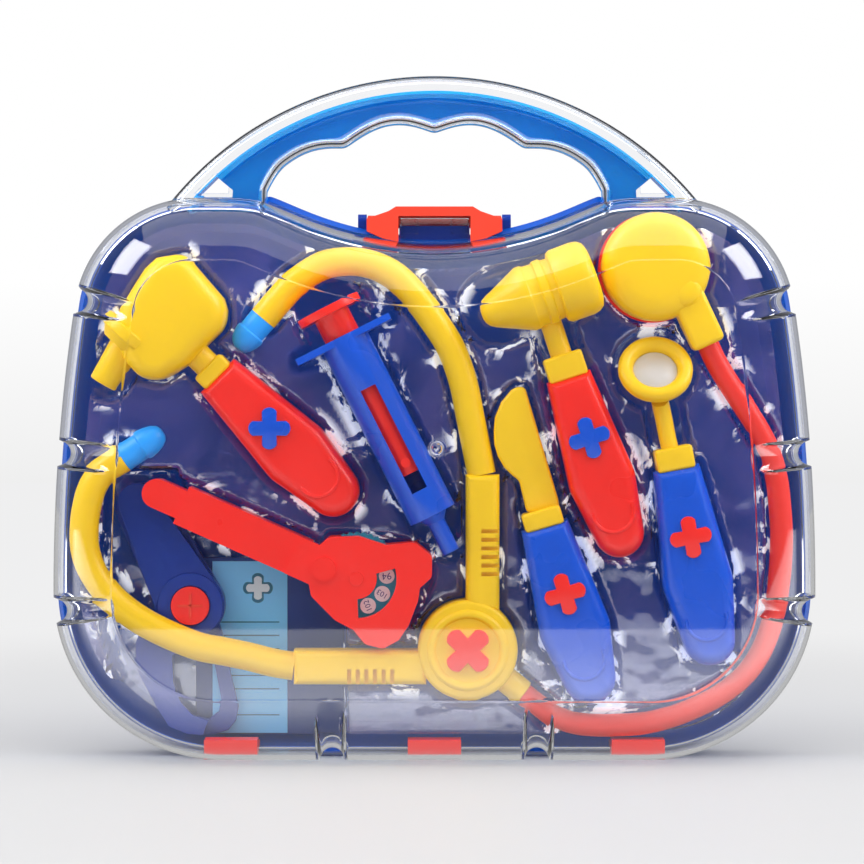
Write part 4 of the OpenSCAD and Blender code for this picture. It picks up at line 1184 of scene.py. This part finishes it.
@dataclass
class Stethoscope:
    """The stethoscope: hub, tubes, ear tips, hose and chest piece."""

    hub_at: Point = (12.2, 40.6)
    hub_radius: float = 18.4
    hub_depth: float = 14
    spigot_turn: float = -38.8
    spigot_reach: float = 26.4
    tube_radius: float = 5.3
    tube_y: float = 1.7
    hose_radius: float = 4.1
    hose_y: float = 2
    slot_pitch: float = 3.15
    stem_end: Point = (100.9, 152.5)
    stem_turn: float = -65
    chest_at: Point = (81.3, 181.2)
    upper_route: tuple[Point, ...] = (
        (17.4, 104.9), (15.4, 115), (13.2, 126), (10.4, 139.5), (5.8, 152),
        (-1.6, 163.4), (-8.4, 172), (-15.4, 178.4), (-23.4, 182.2), (-32, 183.3),
        (-41.4, 181.6), (-51, 175.6), (-57.2, 169.2), (-63.1, 162.3),
    )
    lower_route: tuple[Point, ...] = (
        (-51.7, 34.1), (-59.5, 35.4), (-68.2, 37.6), (-77.8, 39.6), (-87.3, 41.5),
        (-99.1, 46.2), (-109.5, 51.8), (-118.4, 58.8), (-125, 67.4), (-128.6, 76),
        (-129.2, 84.5), (-128.2, 93), (-125.6, 101), (-121, 106.9), (-114.7, 111),
    )
    hose_middle: tuple[Point, ...] = (
        (43, 16.6), (50.5, 13.4), (59, 12.3), (68, 12.3), (77, 13), (86.5, 15.2),
        (96.5, 19), (106, 24), (114, 30.5), (119.3, 37.5), (122.8, 45),
        (125.2, 53), (126.7, 62), (127.7, 72), (128, 83), (127.4, 93),
        (126.2, 103), (123.6, 113), (119.2, 122), (113.8, 130.4),
    )

    def build(self) -> None:
        """Builds every piece of the stethoscope."""
        self.hub()
        self.tubes()
        self.hose()
        self.chest_piece()

    def hub(self) -> None:
        """The yellow hub with its sockets, its spigot and its cross."""
        r, d = self.hub_radius, self.hub_depth
        disc = Workpiece.turned([
            (0, 0), (r, 0), (r, d - 3.2), (r - 0.4, d - 2), (r - 1.6, d - 1.2),
            (r - 3.4, d - 1.2), (r - 4.2, d - 0.2), (r - 4.8, d), (12.8, d),
            (12.2, d - 0.4), (11.6, d - 1.2), (0, d - 1.2),
        ]).settled("hub_disc", YELLOW, lay(self.hub_at, 0, FLOOR_DEPTH), slot="yellow_plastic")
        spigot = Workpiece.drum(
            4.9, 14, self.spigot_reach, axis="u", at=(0, FLOOR_DEPTH - self.hose_y)
        ).rounded(0.5).settled(
            "hub_spigot", YELLOW, lay(self.hub_at, self.spigot_turn, FLOOR_DEPTH),
            slot="yellow_plastic",
        )
        upper = Workpiece.box((11.5, -5.2, 55), (23.9, 7, 104.9)).rounded(3, lambda p: p.y < 0, segments=4)
        lower = Workpiece.box((-51.7, -5.2, 27.8), (-3, 7, 40.4)).rounded(3, lambda p: p.y < 0, segments=4)
        for k in range(6):
            step = k * self.slot_pitch
            upper.cut(Workpiece.box((17.2, -6, 67.8 + step), (25.2, -2.8, 69.3 + step)))
            lower.cut(Workpiece.box((-32 + step, -6, 27), (-30.5 + step, -2.8, 33.6)))
        upper = upper.settled("hub_upper_socket", YELLOW, UPRIGHT, slot="yellow_plastic")
        lower = lower.settled("hub_lower_socket", YELLOW, UPRIGHT, slot="yellow_plastic")
        for new in (disc, spigot, upper, lower):
            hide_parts("stethoscope_hub")
        cross = Workpiece.plate(cross_outline(9.3), 0, 2).rounded(
            0.6, lambda p: p.z > 1.9, segments=2
        ).moved(Matrix.Translation((0, 0, self.hub_depth - 1.3)))
        cross = cross.settled(
            "hub_badge", RED, lay(self.hub_at, 45, FLOOR_DEPTH), slot="red_plastic"
        )
        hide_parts("stethoscope_hub_cross")

    def tubes(self) -> None:
        """The yellow tubes and the blue ear tips."""
        for side, route, length in (
            ("upper", self.upper_route, 14.5), ("lower", self.lower_route, 17.5),
        ):
            path = [(x, self.tube_y, z) for x, z in route]
            tube = Workpiece.tube(path, self.tube_radius, 14)
            tube = tube.settled(f"{side}_tube", YELLOW, UPRIGHT, slot="yellow_plastic")
            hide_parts(f"stethoscope_{side}_tube")
            (ax, az), (bx, bz) = route[-2:]
            turn = math.degrees(math.atan2(bz - az, bx - ax))
            profile = [
                (0, -1), (5.0, -1), (5.25, 0), (5.1, length * 0.44), (5.7, length * 0.48),
                (5.75, length * 0.56), (5.3, length * 0.7), (4.5, length * 0.84),
                (3.2, length * 0.95), (1.6, length), (0, length),
            ]
            tip = Workpiece.turned(profile, 56).moved(
                Matrix.Rotation(math.radians(90), 4, "Y")
            )
            tip = tip.settled(
                f"{side}_tip", EAR_BLUE, lay(route[-1], turn, self.tube_y),
                slot="ear_tip_plastic",
            )
            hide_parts(f"{side}_ear_tip")

    def hose(self) -> None:
        """The red hose, held in the tray from the hub to the chest piece's stem."""
        start = [polar(self.hub_at, self.spigot_reach + a, self.spigot_turn) for a in (0, 5)]
        end = [
            polar(self.stem_end, 14, self.stem_turn + 3),
            polar(self.stem_end, 6, self.stem_turn), self.stem_end,
        ]
        path = [(x, self.hose_y, z) for x, z in [*start, *self.hose_middle, *end]]
        hose = Workpiece.tube(path, self.hose_radius, 12)
        hose = hose.settled("red_hose", HOSE_RED, UPRIGHT, slot="red_hose")
        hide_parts("stethoscope_hose")

    def chest_piece(self) -> None:
        """The yellow chest piece on its red ring."""
        r = 19.9
        dome = Workpiece.turned([
            (0, 0), (r, 0), (r, 5), (r - 0.3, 6.8), (19, 8.4), (17.4, 10),
            (15, 11.1), (11.6, 11.7), (7, 11.95), (0, 12),
        ], 96).settled("chest_dome", YELLOW, lay(self.chest_at, 0, 3), slot="yellow_plastic")
        stem = Workpiece.box((-26, -6.2, 0), (0, 6.2, 12.3)).rounded(2, segments=4)
        stem = stem.settled(
            "chest_stem", YELLOW, lay(self.stem_end, self.stem_turn, FLOOR_DEPTH - 1),
            slot="yellow_plastic",
        )
        boss = Workpiece.turned([
            (0, 0), (6.6, 0), (6.6, 8.6), (6.2, 9.8), (5.2, 10.8), (3.6, 11.4),
            (1.8, 11.6), (0, 11.6),
        ]).settled("chest_boss", YELLOW, lay((91.2, 172.8), 0, 3), slot="yellow_plastic")
        for new in (dome, stem, boss):
            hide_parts("chest_piece")
        cad_piece("chest_piece_ring", RED)


@dataclass
class Syringe:
    """The syringe, from CAD, with rounded edges."""

    def build(self) -> None:
        """Dresses the barrel and the plunger."""
        cad_piece("syringe_barrel", BLUE, edge=0.4)
        cad_piece("syringe_plunger", RED, edge=0.4)


@dataclass
class Thermometer:
    """The thermometer with its dial of numbers."""

    dial_at: Point = (-28.5, 67)
    number_circle: float = 11

    def build(self) -> None:
        """Dresses the plates and prints the dial."""
        cad_piece("thermometer_front", RED, edge=0.8)
        cad_piece("thermometer_back", RED, edge=0.5)
        cad_piece("thermometer_dial", TEAL)
        cad_piece("thermometer_axle", STEEL)
        cap = Workpiece.turned([(0, 0), (2.6, 0), (2.5, 0.3), (0, 0.4)], 40)
        cap.settled("thermometer_cap", RED, lay(self.dial_at, 0, -8), slot="red_plastic")
        self.print_dial()

    def print_dial(self) -> None:
        """White discs with generic numbers round the dial."""
        discs, figures = [], []
        for k in range(10):
            angle = 36 * k + 4
            at = polar((0, 0), self.number_circle, angle)
            discs.append(Workpiece.drum(2.9, 4.4, 4.5, at=at, sides=32))
            bpy.ops.object.select_all(action="DESELECT")
            bpy.ops.object.text_add()
            text = bpy.context.active_object
            text.data.body = str(94 + k)
            text.data.size = 3.6 if k < 6 else 2.9
            text.data.align_x = text.data.align_y = "CENTER"
            text.data.extrude = 0.03
            bpy.ops.object.convert(target="MESH")
            figures.append(Workpiece(bpy.context.active_object).moved(
                Matrix.Translation((*at, 4.55))
                @ Matrix.Rotation(math.radians(angle + 180), 4, "Z")
            ))
        place = lay(self.dial_at, 0, FLOOR_DEPTH - 5.3)
        discs[0].joined(*discs[1:]).settled(
            "dial_discs", DIAL_WHITE, place, "dial", "dial_plastic"
        )
        figures[0].joined(*figures[1:]).settled(
            "dial_numbers", DIAL_INK, place, "dial", "dial_plastic"
        )


@dataclass
class Forceps:
    """The blue forceps behind the stethoscope's lower tube."""

    pivot_at: Point = (-90.6, 56)

    def build(self) -> None:
        """Dresses both levers, the pivot and the cap."""
        cad_piece("forceps_front_lever", DEEP_BLUE, edge=0.8)
        cad_piece("forceps_back_lever", DEEP_BLUE, edge=0.6)
        cad_piece("forceps_pivot", STEEL)
        cad_piece("forceps_cap", RED, edge=0.3)
        lines = [
            Workpiece.box((-4.6, -0.5, 0), (4.6, 0.5, 0.35)),
            Workpiece.box((-0.5, -4.6, 0), (0.5, 4.6, 0.35)),
        ]
        lines[0].joined(lines[1]).settled(
            "forceps_cap_mark", LATCH_RED, lay(self.pivot_at, 0, 6.2), slot="red_plastic"
        )


@dataclass
class RecordCard:
    """The record board with a bare sticker: a cross and ruled lines."""

    low: Point = (-83, 7.5)
    high: Point = (-55, 72)
    face_y: float = 15.2

    def build(self) -> None:
        """Dresses the board and the sticker and prints the sticker."""
        cad_piece("record_board", BOARD, edge=0.3)
        cad_piece("record_sticker", PAPER)
        place = lay((0, 0), 0, self.face_y)
        ring = cross_outline(5.6, 0.4)
        inner = cross_outline(4.4, 0.34)
        cross = Workpiece.plate([(-66 + u, 62 + v) for u, v in ring], 0, 0.04)
        cross.settled("sticker_cross", PAPER_INK, place, slot="sticker_paper")
        fill = Workpiece.plate([(-66 + u, 62 + v) for u, v in inner], 0, 0.07)
        fill.settled("sticker_cross_fill", PAPER_PALE, place, slot="sticker_paper")
        rules = [
            Workpiece.box((-80, z, 0), (-58, z + 0.5, 0.04)) for z in np.arange(14, 50, 5)
        ]
        rules[0].joined(*rules[1:]).settled(
            "sticker_rules", PAPER_INK, place, slot="sticker_paper"
        )


@dataclass
class Tray:
    """The formed clear tray, with a pocket for each instrument."""

    case: CaseOutline
    otoscope: Otoscope
    hammer: Hammer
    scalpel: Scalpel
    mirror: DentalMirror
    stethoscope: Stethoscope
    cell: float = 1.25
    inset: float = 9.4
    flange_y: float = 1.6
    pocket_y: float = 7.3
    deep_y: float = 17.9
    room: float = 1.4
    deep_zone: tuple[Point, ...] = (
        (-104, 10.9), (-98, 8.2), (-92, 6.5), (-33, 6.5), (-33, 74.6), (-62, 76.4),
        (-88, 84), (-95.5, 106.5), (-121, 106.5), (-123.5, 76), (-124.5, 50),
        (-116, 20.2), (-110, 14.6),
    )

    @staticmethod
    def away(points: np.ndarray, outline: list[Point]) -> np.ndarray:
        """The distance of points to a closed outline, negative inside it."""
        a = np.array(outline)
        b = np.roll(a, -1, axis=0)
        best = np.full(len(points), 1e9)
        inside = np.zeros(len(points), bool)
        for (ax, az), (bx, bz) in zip(a, b):
            ex, ez = bx - ax, bz - az
            px, pz = points[:, 0] - ax, points[:, 1] - az
            t = np.clip((px * ex + pz * ez) / (ex * ex + ez * ez + 1e-12), 0, 1)
            best = np.minimum(best, np.hypot(px - t * ex, pz - t * ez))
            crosses = (az > points[:, 1]) != (bz > points[:, 1])
            with np.errstate(divide="ignore", invalid="ignore"):
                inside ^= crosses & (points[:, 0] < ex * (points[:, 1] - az) / (ez + 1e-12) + ax)
        return np.where(inside, -best, best)

    @staticmethod
    def along(points: np.ndarray, route: list[Point], radius: float) -> np.ndarray:
        """The distance of points to a round route of that radius."""
        best = np.full(len(points), 1e9)
        for (ax, az), (bx, bz) in zip(route, route[1:]):
            ex, ez = bx - ax, bz - az
            px, pz = points[:, 0] - ax, points[:, 1] - az
            t = np.clip((px * ex + pz * ez) / (ex * ex + ez * ez), 0, 1)
            best = np.minimum(best, np.hypot(px - t * ex, pz - t * ez))
        return best - radius

    def shadows(self, points: np.ndarray) -> np.ndarray:
        """The distance of points to the nearest instrument's outline."""
        steth = self.stethoscope
        found = []
        for tool, reach, half in (
            (self.otoscope, 14, 6.6), (self.hammer, 18, 7.3), (self.scalpel, 6, 7.3),
            (self.mirror, 26, 6),
        ):
            turn = Matrix.Rotation(math.radians(tool.turn), 2)
            outline = [
                tuple(turn @ Vector(p) + Vector(tool.at)) for p in tool.paddle.outline()
            ]
            found.append(self.away(points, outline))
            found.append(self.along(points, [tool.at, polar(tool.at, -reach, tool.turn)], half))
        found.append(self.away(points, list(self.otoscope.body)))
        found.append(self.along(
            points,
            [self.otoscope.speculum_at, polar(self.otoscope.speculum_at, 17, self.otoscope.speculum_turn)],
            7.5,
        ))
        found.append(self.along(
            points,
            [polar(self.hammer.head_at, -18, self.hammer.head_turn), polar(self.hammer.head_at, 6, self.hammer.head_turn)],
            13,
        ))
        found.append(self.away(points, list(self.scalpel.blade)))
        found.append(self.along(points, [self.mirror.ring_at, (81.01, 143.7)], 13.9))
        found.append(self.along(points, [steth.hub_at, (12.21, 40.6)], steth.hub_radius))
        found.append(self.along(points, [(17.7, 55), (17.7, 104)], 6.4))
        found.append(self.along(points, [(-51, 34.1), (0, 34.1)], 6.4))
        found.append(self.along(points, list(steth.upper_route), steth.tube_radius))
        found.append(self.along(points, list(steth.lower_route), steth.tube_radius))
        hose = [polar(steth.hub_at, 20, steth.spigot_turn), *steth.hose_middle, steth.stem_end]
        found.append(self.along(points, hose, steth.hose_radius))
        found.append(self.along(
            points, [steth.stem_end, polar(steth.stem_end, -20, steth.stem_turn)], 6.4
        ))
        found.append(self.along(points, [steth.chest_at, (81.31, 181.2)], 20.4))
        syringe = [polar((-38.3, 164.6), a, -63.2) for a in (-1, 10, 84, 97)]
        found.append(self.along(points, syringe[:2], 12.2))
        found.append(self.along(points, syringe[1:3], 9.1))
        found.append(self.along(points, syringe[2:], 4.5))
        flange = polar((-38.3, 164.6), 11.3, -63.2)
        found.append(self.along(points, [polar(flange, -18, 26.8), polar(flange, 18, 26.8)], 2.4))
        bar = [polar((-106.9, 100.2), a, -24) for a in (7, 62)]
        found.append(self.along(points, bar, 7.3))
        plate = [(-46, 66), (-38, 82), (-17, 80), (-2, 78), (-2, 66), (-12, 45), (-20, 42), (-36, 52)]
        found.append(self.away(points, plate))
        return np.min(np.array(found), axis=0)

    def build(self) -> None:
        """Forms the sheet over a grid and trims it to the case."""
        xs = np.arange(-132.5, 132.6, self.cell)
        zs = np.arange(3, 200.1, self.cell)
        gx, gz = np.meshgrid(xs, zs)
        points = np.stack([gx.ravel(), gz.ravel()], 1)
        loop, normals, _ = self.case.loop(False)
        border = (loop + normals * self.inset)[::4]
        edge = self.away(points, [tuple(p) for p in border])
        near = (edge > 0) & (edge < self.cell * 1.2)
        for k in np.nonzero(near)[0]:
            gap = np.hypot(border[:, 0] - points[k, 0], border[:, 1] - points[k, 1])
            j = int(np.argmin(gap))
            ends = border[(j + 1) % len(border)] - border[j - 1]
            ends /= np.linalg.norm(ends)
            points[k] = border[j] + ends * np.dot(points[k] - border[j], ends)
        pocket = self.shadows(points) - self.room
        fall = np.clip(0.5 - pocket / 1.9, 0, 1)
        fall = fall * fall * (3 - 2 * fall)
        y = self.flange_y + (self.pocket_y - self.flange_y) * fall
        deep = self.away(points, list(self.deep_zone))
        drop = np.clip(0.5 - deep / 2.4, 0, 1)
        drop = drop * drop * (3 - 2 * drop)
        y = y + (self.deep_y - y) * drop
        rows = np.stack([points[:, 0], y, points[:, 1]], 1).reshape(len(zs), len(xs), 3)
        piece = Workpiece.net(rows, closed=False)
        # The flat and drawn masks place the tray film's painted sheen and painted glints.
        for name, values in (
            ("flat", (1 - fall) * (1 - drop)),
            ("drawn", np.clip(1 - np.minimum(np.abs(pocket), np.abs(deep)) / 4.2, 0, 1)),
        ):
            mask = piece.obj.data.attributes.new(name, "FLOAT", "POINT")
            mask.data.foreach_set("value", values.astype(np.float32))
        keep = np.array(edge < self.cell * 1.2)
        piece.closed_edit()
        mesh = piece.obj.data
        bpy.context.tool_settings.mesh_select_mode = Part.FACES.value
        mesh.vertices.foreach_set("select", [False] * len(mesh.vertices))
        mesh.edges.foreach_set("select", [False] * len(mesh.edges))
        mesh.polygons.foreach_set(
            "select", [not all(keep[i] for i in f.vertices) for f in mesh.polygons]
        )
        bpy.context.view_layer.objects.active = piece.obj
        piece.obj.select_set(True)
        bpy.ops.object.mode_set(mode="EDIT")
        bpy.ops.mesh.delete(type="FACE")
        bpy.ops.mesh.select_all(action="SELECT")
        bpy.ops.mesh.normals_make_consistent(inside=False)
        piece.closed_edit()
        piece.modified("SOLIDIFY", thickness=0.5, offset=0.0)
        sheet = piece.settled(
            "tray_sheet", TRAY_FILM, UPRIGHT, slot="clear_plastic", smooth=80
        )
        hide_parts("tray")


# ---------------------------------------------------------------- studio


@dataclass
class Studio:
    """The camera, the table, the white room and the lamps."""

    camera_at: tuple = (-0.0009, -0.994, 0.136)
    pitch: float = 0.89
    lens: float = 112.5
    table_front: float = -0.59
    table_back: float = 2.96
    table_width: float = 8
    table_reflected_glow: float = 3.2
    room_light: float = 0.85
    room_gloss: float = 0.05

    def build(self) -> None:
        """Sets up the whole studio."""
        self.camera()
        self.table()
        self.world()
        top = self.lamp("top_softbox", (0, -0.25, 1.25), (0, 0, 0.1), (1.7, 1.1), 14)
        top.visible_glossy = False
        self.lamp("left_softbox", (-0.95, -0.35, 0.95), (0, 0, 0.12), (0.5, 0.5), 6.5)
        self.lamp("right_softbox", (1.0, -0.35, 0.9), (0, 0, 0.12), (0.5, 0.5), 6.5)
        scene = bpy.context.scene
        scene.view_settings.view_transform = "Standard"

    def camera(self) -> None:
        """The photograph's camera."""
        bpy.ops.object.camera_add(
            location=self.camera_at, rotation=(math.radians(90 - self.pitch), 0, 0)
        )
        camera = bpy.context.active_object
        camera.name = "camera"
        camera.data.lens = self.lens
        camera.data.sensor_width = 36
        camera.data.clip_start = 0.01
        camera.data.clip_end = 100
        bpy.context.scene.camera = camera

    def table(self) -> None:
        """The pale table, which ends in front of the case where its reflection does."""
        bpy.ops.object.select_all(action="DESELECT")
        bpy.ops.mesh.primitive_plane_add(size=1)
        table = bpy.context.active_object
        table.scale = (self.table_width, self.table_back - self.table_front, 1)
        table.location.y = (self.table_front + self.table_back) / 2
        bpy.ops.object.transform_apply(location=True, rotation=True, scale=True)
        table.name = "table"
        material, add, link = new_material("table_white")
        shader = add("ShaderNodeBsdfPrincipled")
        shader.inputs["Base Color"].default_value = (0.46, 0.46, 0.465, 1)
        shader.inputs["Roughness"].default_value = 0.55
        shader.inputs["Specular IOR Level"].default_value = 0.2
        place = add("ShaderNodeTexCoord")
        parts = add("ShaderNodeSeparateXYZ")
        link(place.outputs["Object"], parts.inputs["Vector"])
        # Painted glow: for reflected rays the table in front of the case glows brighter than white, though
        # it is no lamp, to paint the bright reflection in the lid's lower pane.
        lit = add("ShaderNodeMapRange")
        lit.inputs["From Min"].default_value = -0.02
        lit.inputs["From Max"].default_value = -0.06
        lit.inputs["To Min"].default_value = 0.5
        lit.inputs["To Max"].default_value = self.table_reflected_glow
        link(parts.outputs["Y"], lit.inputs["Value"])
        nearer = add("ShaderNodeMapRange")
        nearer.inputs["From Min"].default_value = -0.5
        nearer.inputs["From Max"].default_value = -0.12
        nearer.inputs["To Min"].default_value = 0.45
        link(parts.outputs["Y"], nearer.inputs["Value"])
        strength = add("ShaderNodeMath")
        strength.operation = "MULTIPLY"
        link(lit.outputs["Result"], strength.inputs[0])
        link(nearer.outputs["Result"], strength.inputs[1])
        glow = add("ShaderNodeEmission")
        glow.inputs["Color"].default_value = (1, 1, 1, 1)
        link(strength.outputs["Value"], glow.inputs["Strength"])
        path = add("ShaderNodeLightPath")
        past = add("ShaderNodeMath")
        past.operation = "GREATER_THAN"
        link(path.outputs["Glossy Depth"], past.inputs[0])
        far = add("ShaderNodeEmission")
        far.inputs["Color"].default_value = (0.865, 0.865, 0.87, 1)
        reach = add("ShaderNodeVectorMath")
        reach.operation = "LENGTH"
        link(place.outputs["Object"], reach.inputs[0])
        fade = add("ShaderNodeMapRange")
        fade.interpolation_type = "SMOOTHSTEP"
        fade.inputs["From Min"].default_value = 0.18
        fade.inputs["From Max"].default_value = 0.6
        link(reach.outputs["Value"], fade.inputs["Value"])
        even = add("ShaderNodeMixShader")
        link(fade.outputs["Result"], even.inputs["Fac"])
        link(shader.outputs["BSDF"], even.inputs[1])
        link(far.outputs["Emission"], even.inputs[2])
        mix = add("ShaderNodeMixShader")
        link(past.outputs["Value"], mix.inputs["Fac"])
        link(even.outputs["Shader"], mix.inputs[1])
        link(glow.outputs["Emission"], mix.inputs[2])
        link(mix.outputs["Shader"], add("ShaderNodeOutputMaterial").inputs["Surface"])
        table.data.materials.append(material)

    def world(self) -> None:
        """A white room for the eye and the light, a dim one for reflections."""
        world = bpy.data.worlds.new("room")
        bpy.context.scene.world = world
        world.use_nodes = True
        tree = world.node_tree
        tree.nodes.clear()
        add, link = tree.nodes.new, tree.links.new
        place = add("ShaderNodeTexCoord")
        parts = add("ShaderNodeSeparateXYZ")
        link(place.outputs["Generated"], parts.inputs["Vector"])
        rise = add("ShaderNodeMapRange")
        rise.inputs["From Min"].default_value = -0.035
        rise.inputs["From Max"].default_value = 0.04
        rise.inputs["To Min"].default_value = 0.86
        rise.inputs["To Max"].default_value = 1.0
        link(parts.outputs["Z"], rise.inputs["Value"])
        seen = add("ShaderNodeBackground")
        seen.inputs["Color"].default_value = (1, 1, 1, 1)
        link(rise.outputs["Result"], seen.inputs["Strength"])
        light = add("ShaderNodeBackground")
        light.inputs["Color"].default_value = (1, 1, 1, 1)
        light.inputs["Strength"].default_value = self.room_light
        dim = add("ShaderNodeBackground")
        dim.inputs["Color"].default_value = (0.9, 0.92, 1, 1)
        behind = add("ShaderNodeMapRange")
        behind.inputs["From Min"].default_value = -0.3
        behind.inputs["From Max"].default_value = 0.4
        behind.inputs["To Min"].default_value = self.room_gloss
        behind.inputs["To Max"].default_value = 0.45
        link(parts.outputs["Y"], behind.inputs["Value"])
        link(behind.outputs["Result"], dim.inputs["Strength"])
        path = add("ShaderNodeLightPath")
        last = seen
        for depth, room in (("Glossy Depth", dim), ("Diffuse Depth", light)):
            past = add("ShaderNodeMath")
            past.operation = "GREATER_THAN"
            link(path.outputs[depth], past.inputs[0])
            mix = add("ShaderNodeMixShader")
            link(past.outputs["Value"], mix.inputs["Fac"])
            link(last.outputs[0], mix.inputs[1])
            link(room.outputs["Background"], mix.inputs[2])
            last = mix
        link(last.outputs[0], add("ShaderNodeOutputWorld").inputs["Surface"])

    @staticmethod
    def lamp(
        name: str, at: tuple, aim: tuple, size: Point, power: float
    ) -> bpy.types.Object:
        """Adds a softbox at one point that faces another."""
        bpy.ops.object.light_add(type="AREA", location=at)
        lamp = bpy.context.active_object
        lamp.name = name
        lamp.data.shape = "RECTANGLE"
        lamp.data.size, lamp.data.size_y = size
        lamp.data.energy = power
        lamp.rotation_euler = (Vector(aim) - Vector(at)).to_track_quat("-Z", "Y").to_euler()
        return lamp


def main() -> None:
    """Builds the case and its instruments, in order, in the studio."""
    logging.basicConfig(level=logging.INFO, format="%(message)s")
    Studio().build()
    case = Case()
    otoscope = Otoscope(
        "otoscope", (-79.7, 141.3), -44.8, Paddle(69.5, 26), RED, BLUE, 27.4, 45
    )
    hammer = Hammer("hammer", (49.2, 141.1), -72, Paddle(69.5, 24.6), RED, BLUE, 23.7)
    scalpel = Scalpel("scalpel", (40.4, 86.4), -73.6, Paddle(68.2, 26.2), BLUE, RED, 26)
    mirror = DentalMirror("mirror", (88.7, 107.6), -79, Paddle(74, 25.6), BLUE, RED, 25.8)
    stethoscope = Stethoscope()
    tray = Tray(case.outline, otoscope, hammer, scalpel, mirror, stethoscope)
    for piece in (
        case, tray, otoscope, hammer, scalpel, mirror, stethoscope, Syringe(),
        Thermometer(), Forceps(), RecordCard(),
    ):
        piece.build()
        log.info("built %s", type(piece).__name__)


if __name__ == "__main__":
    main()
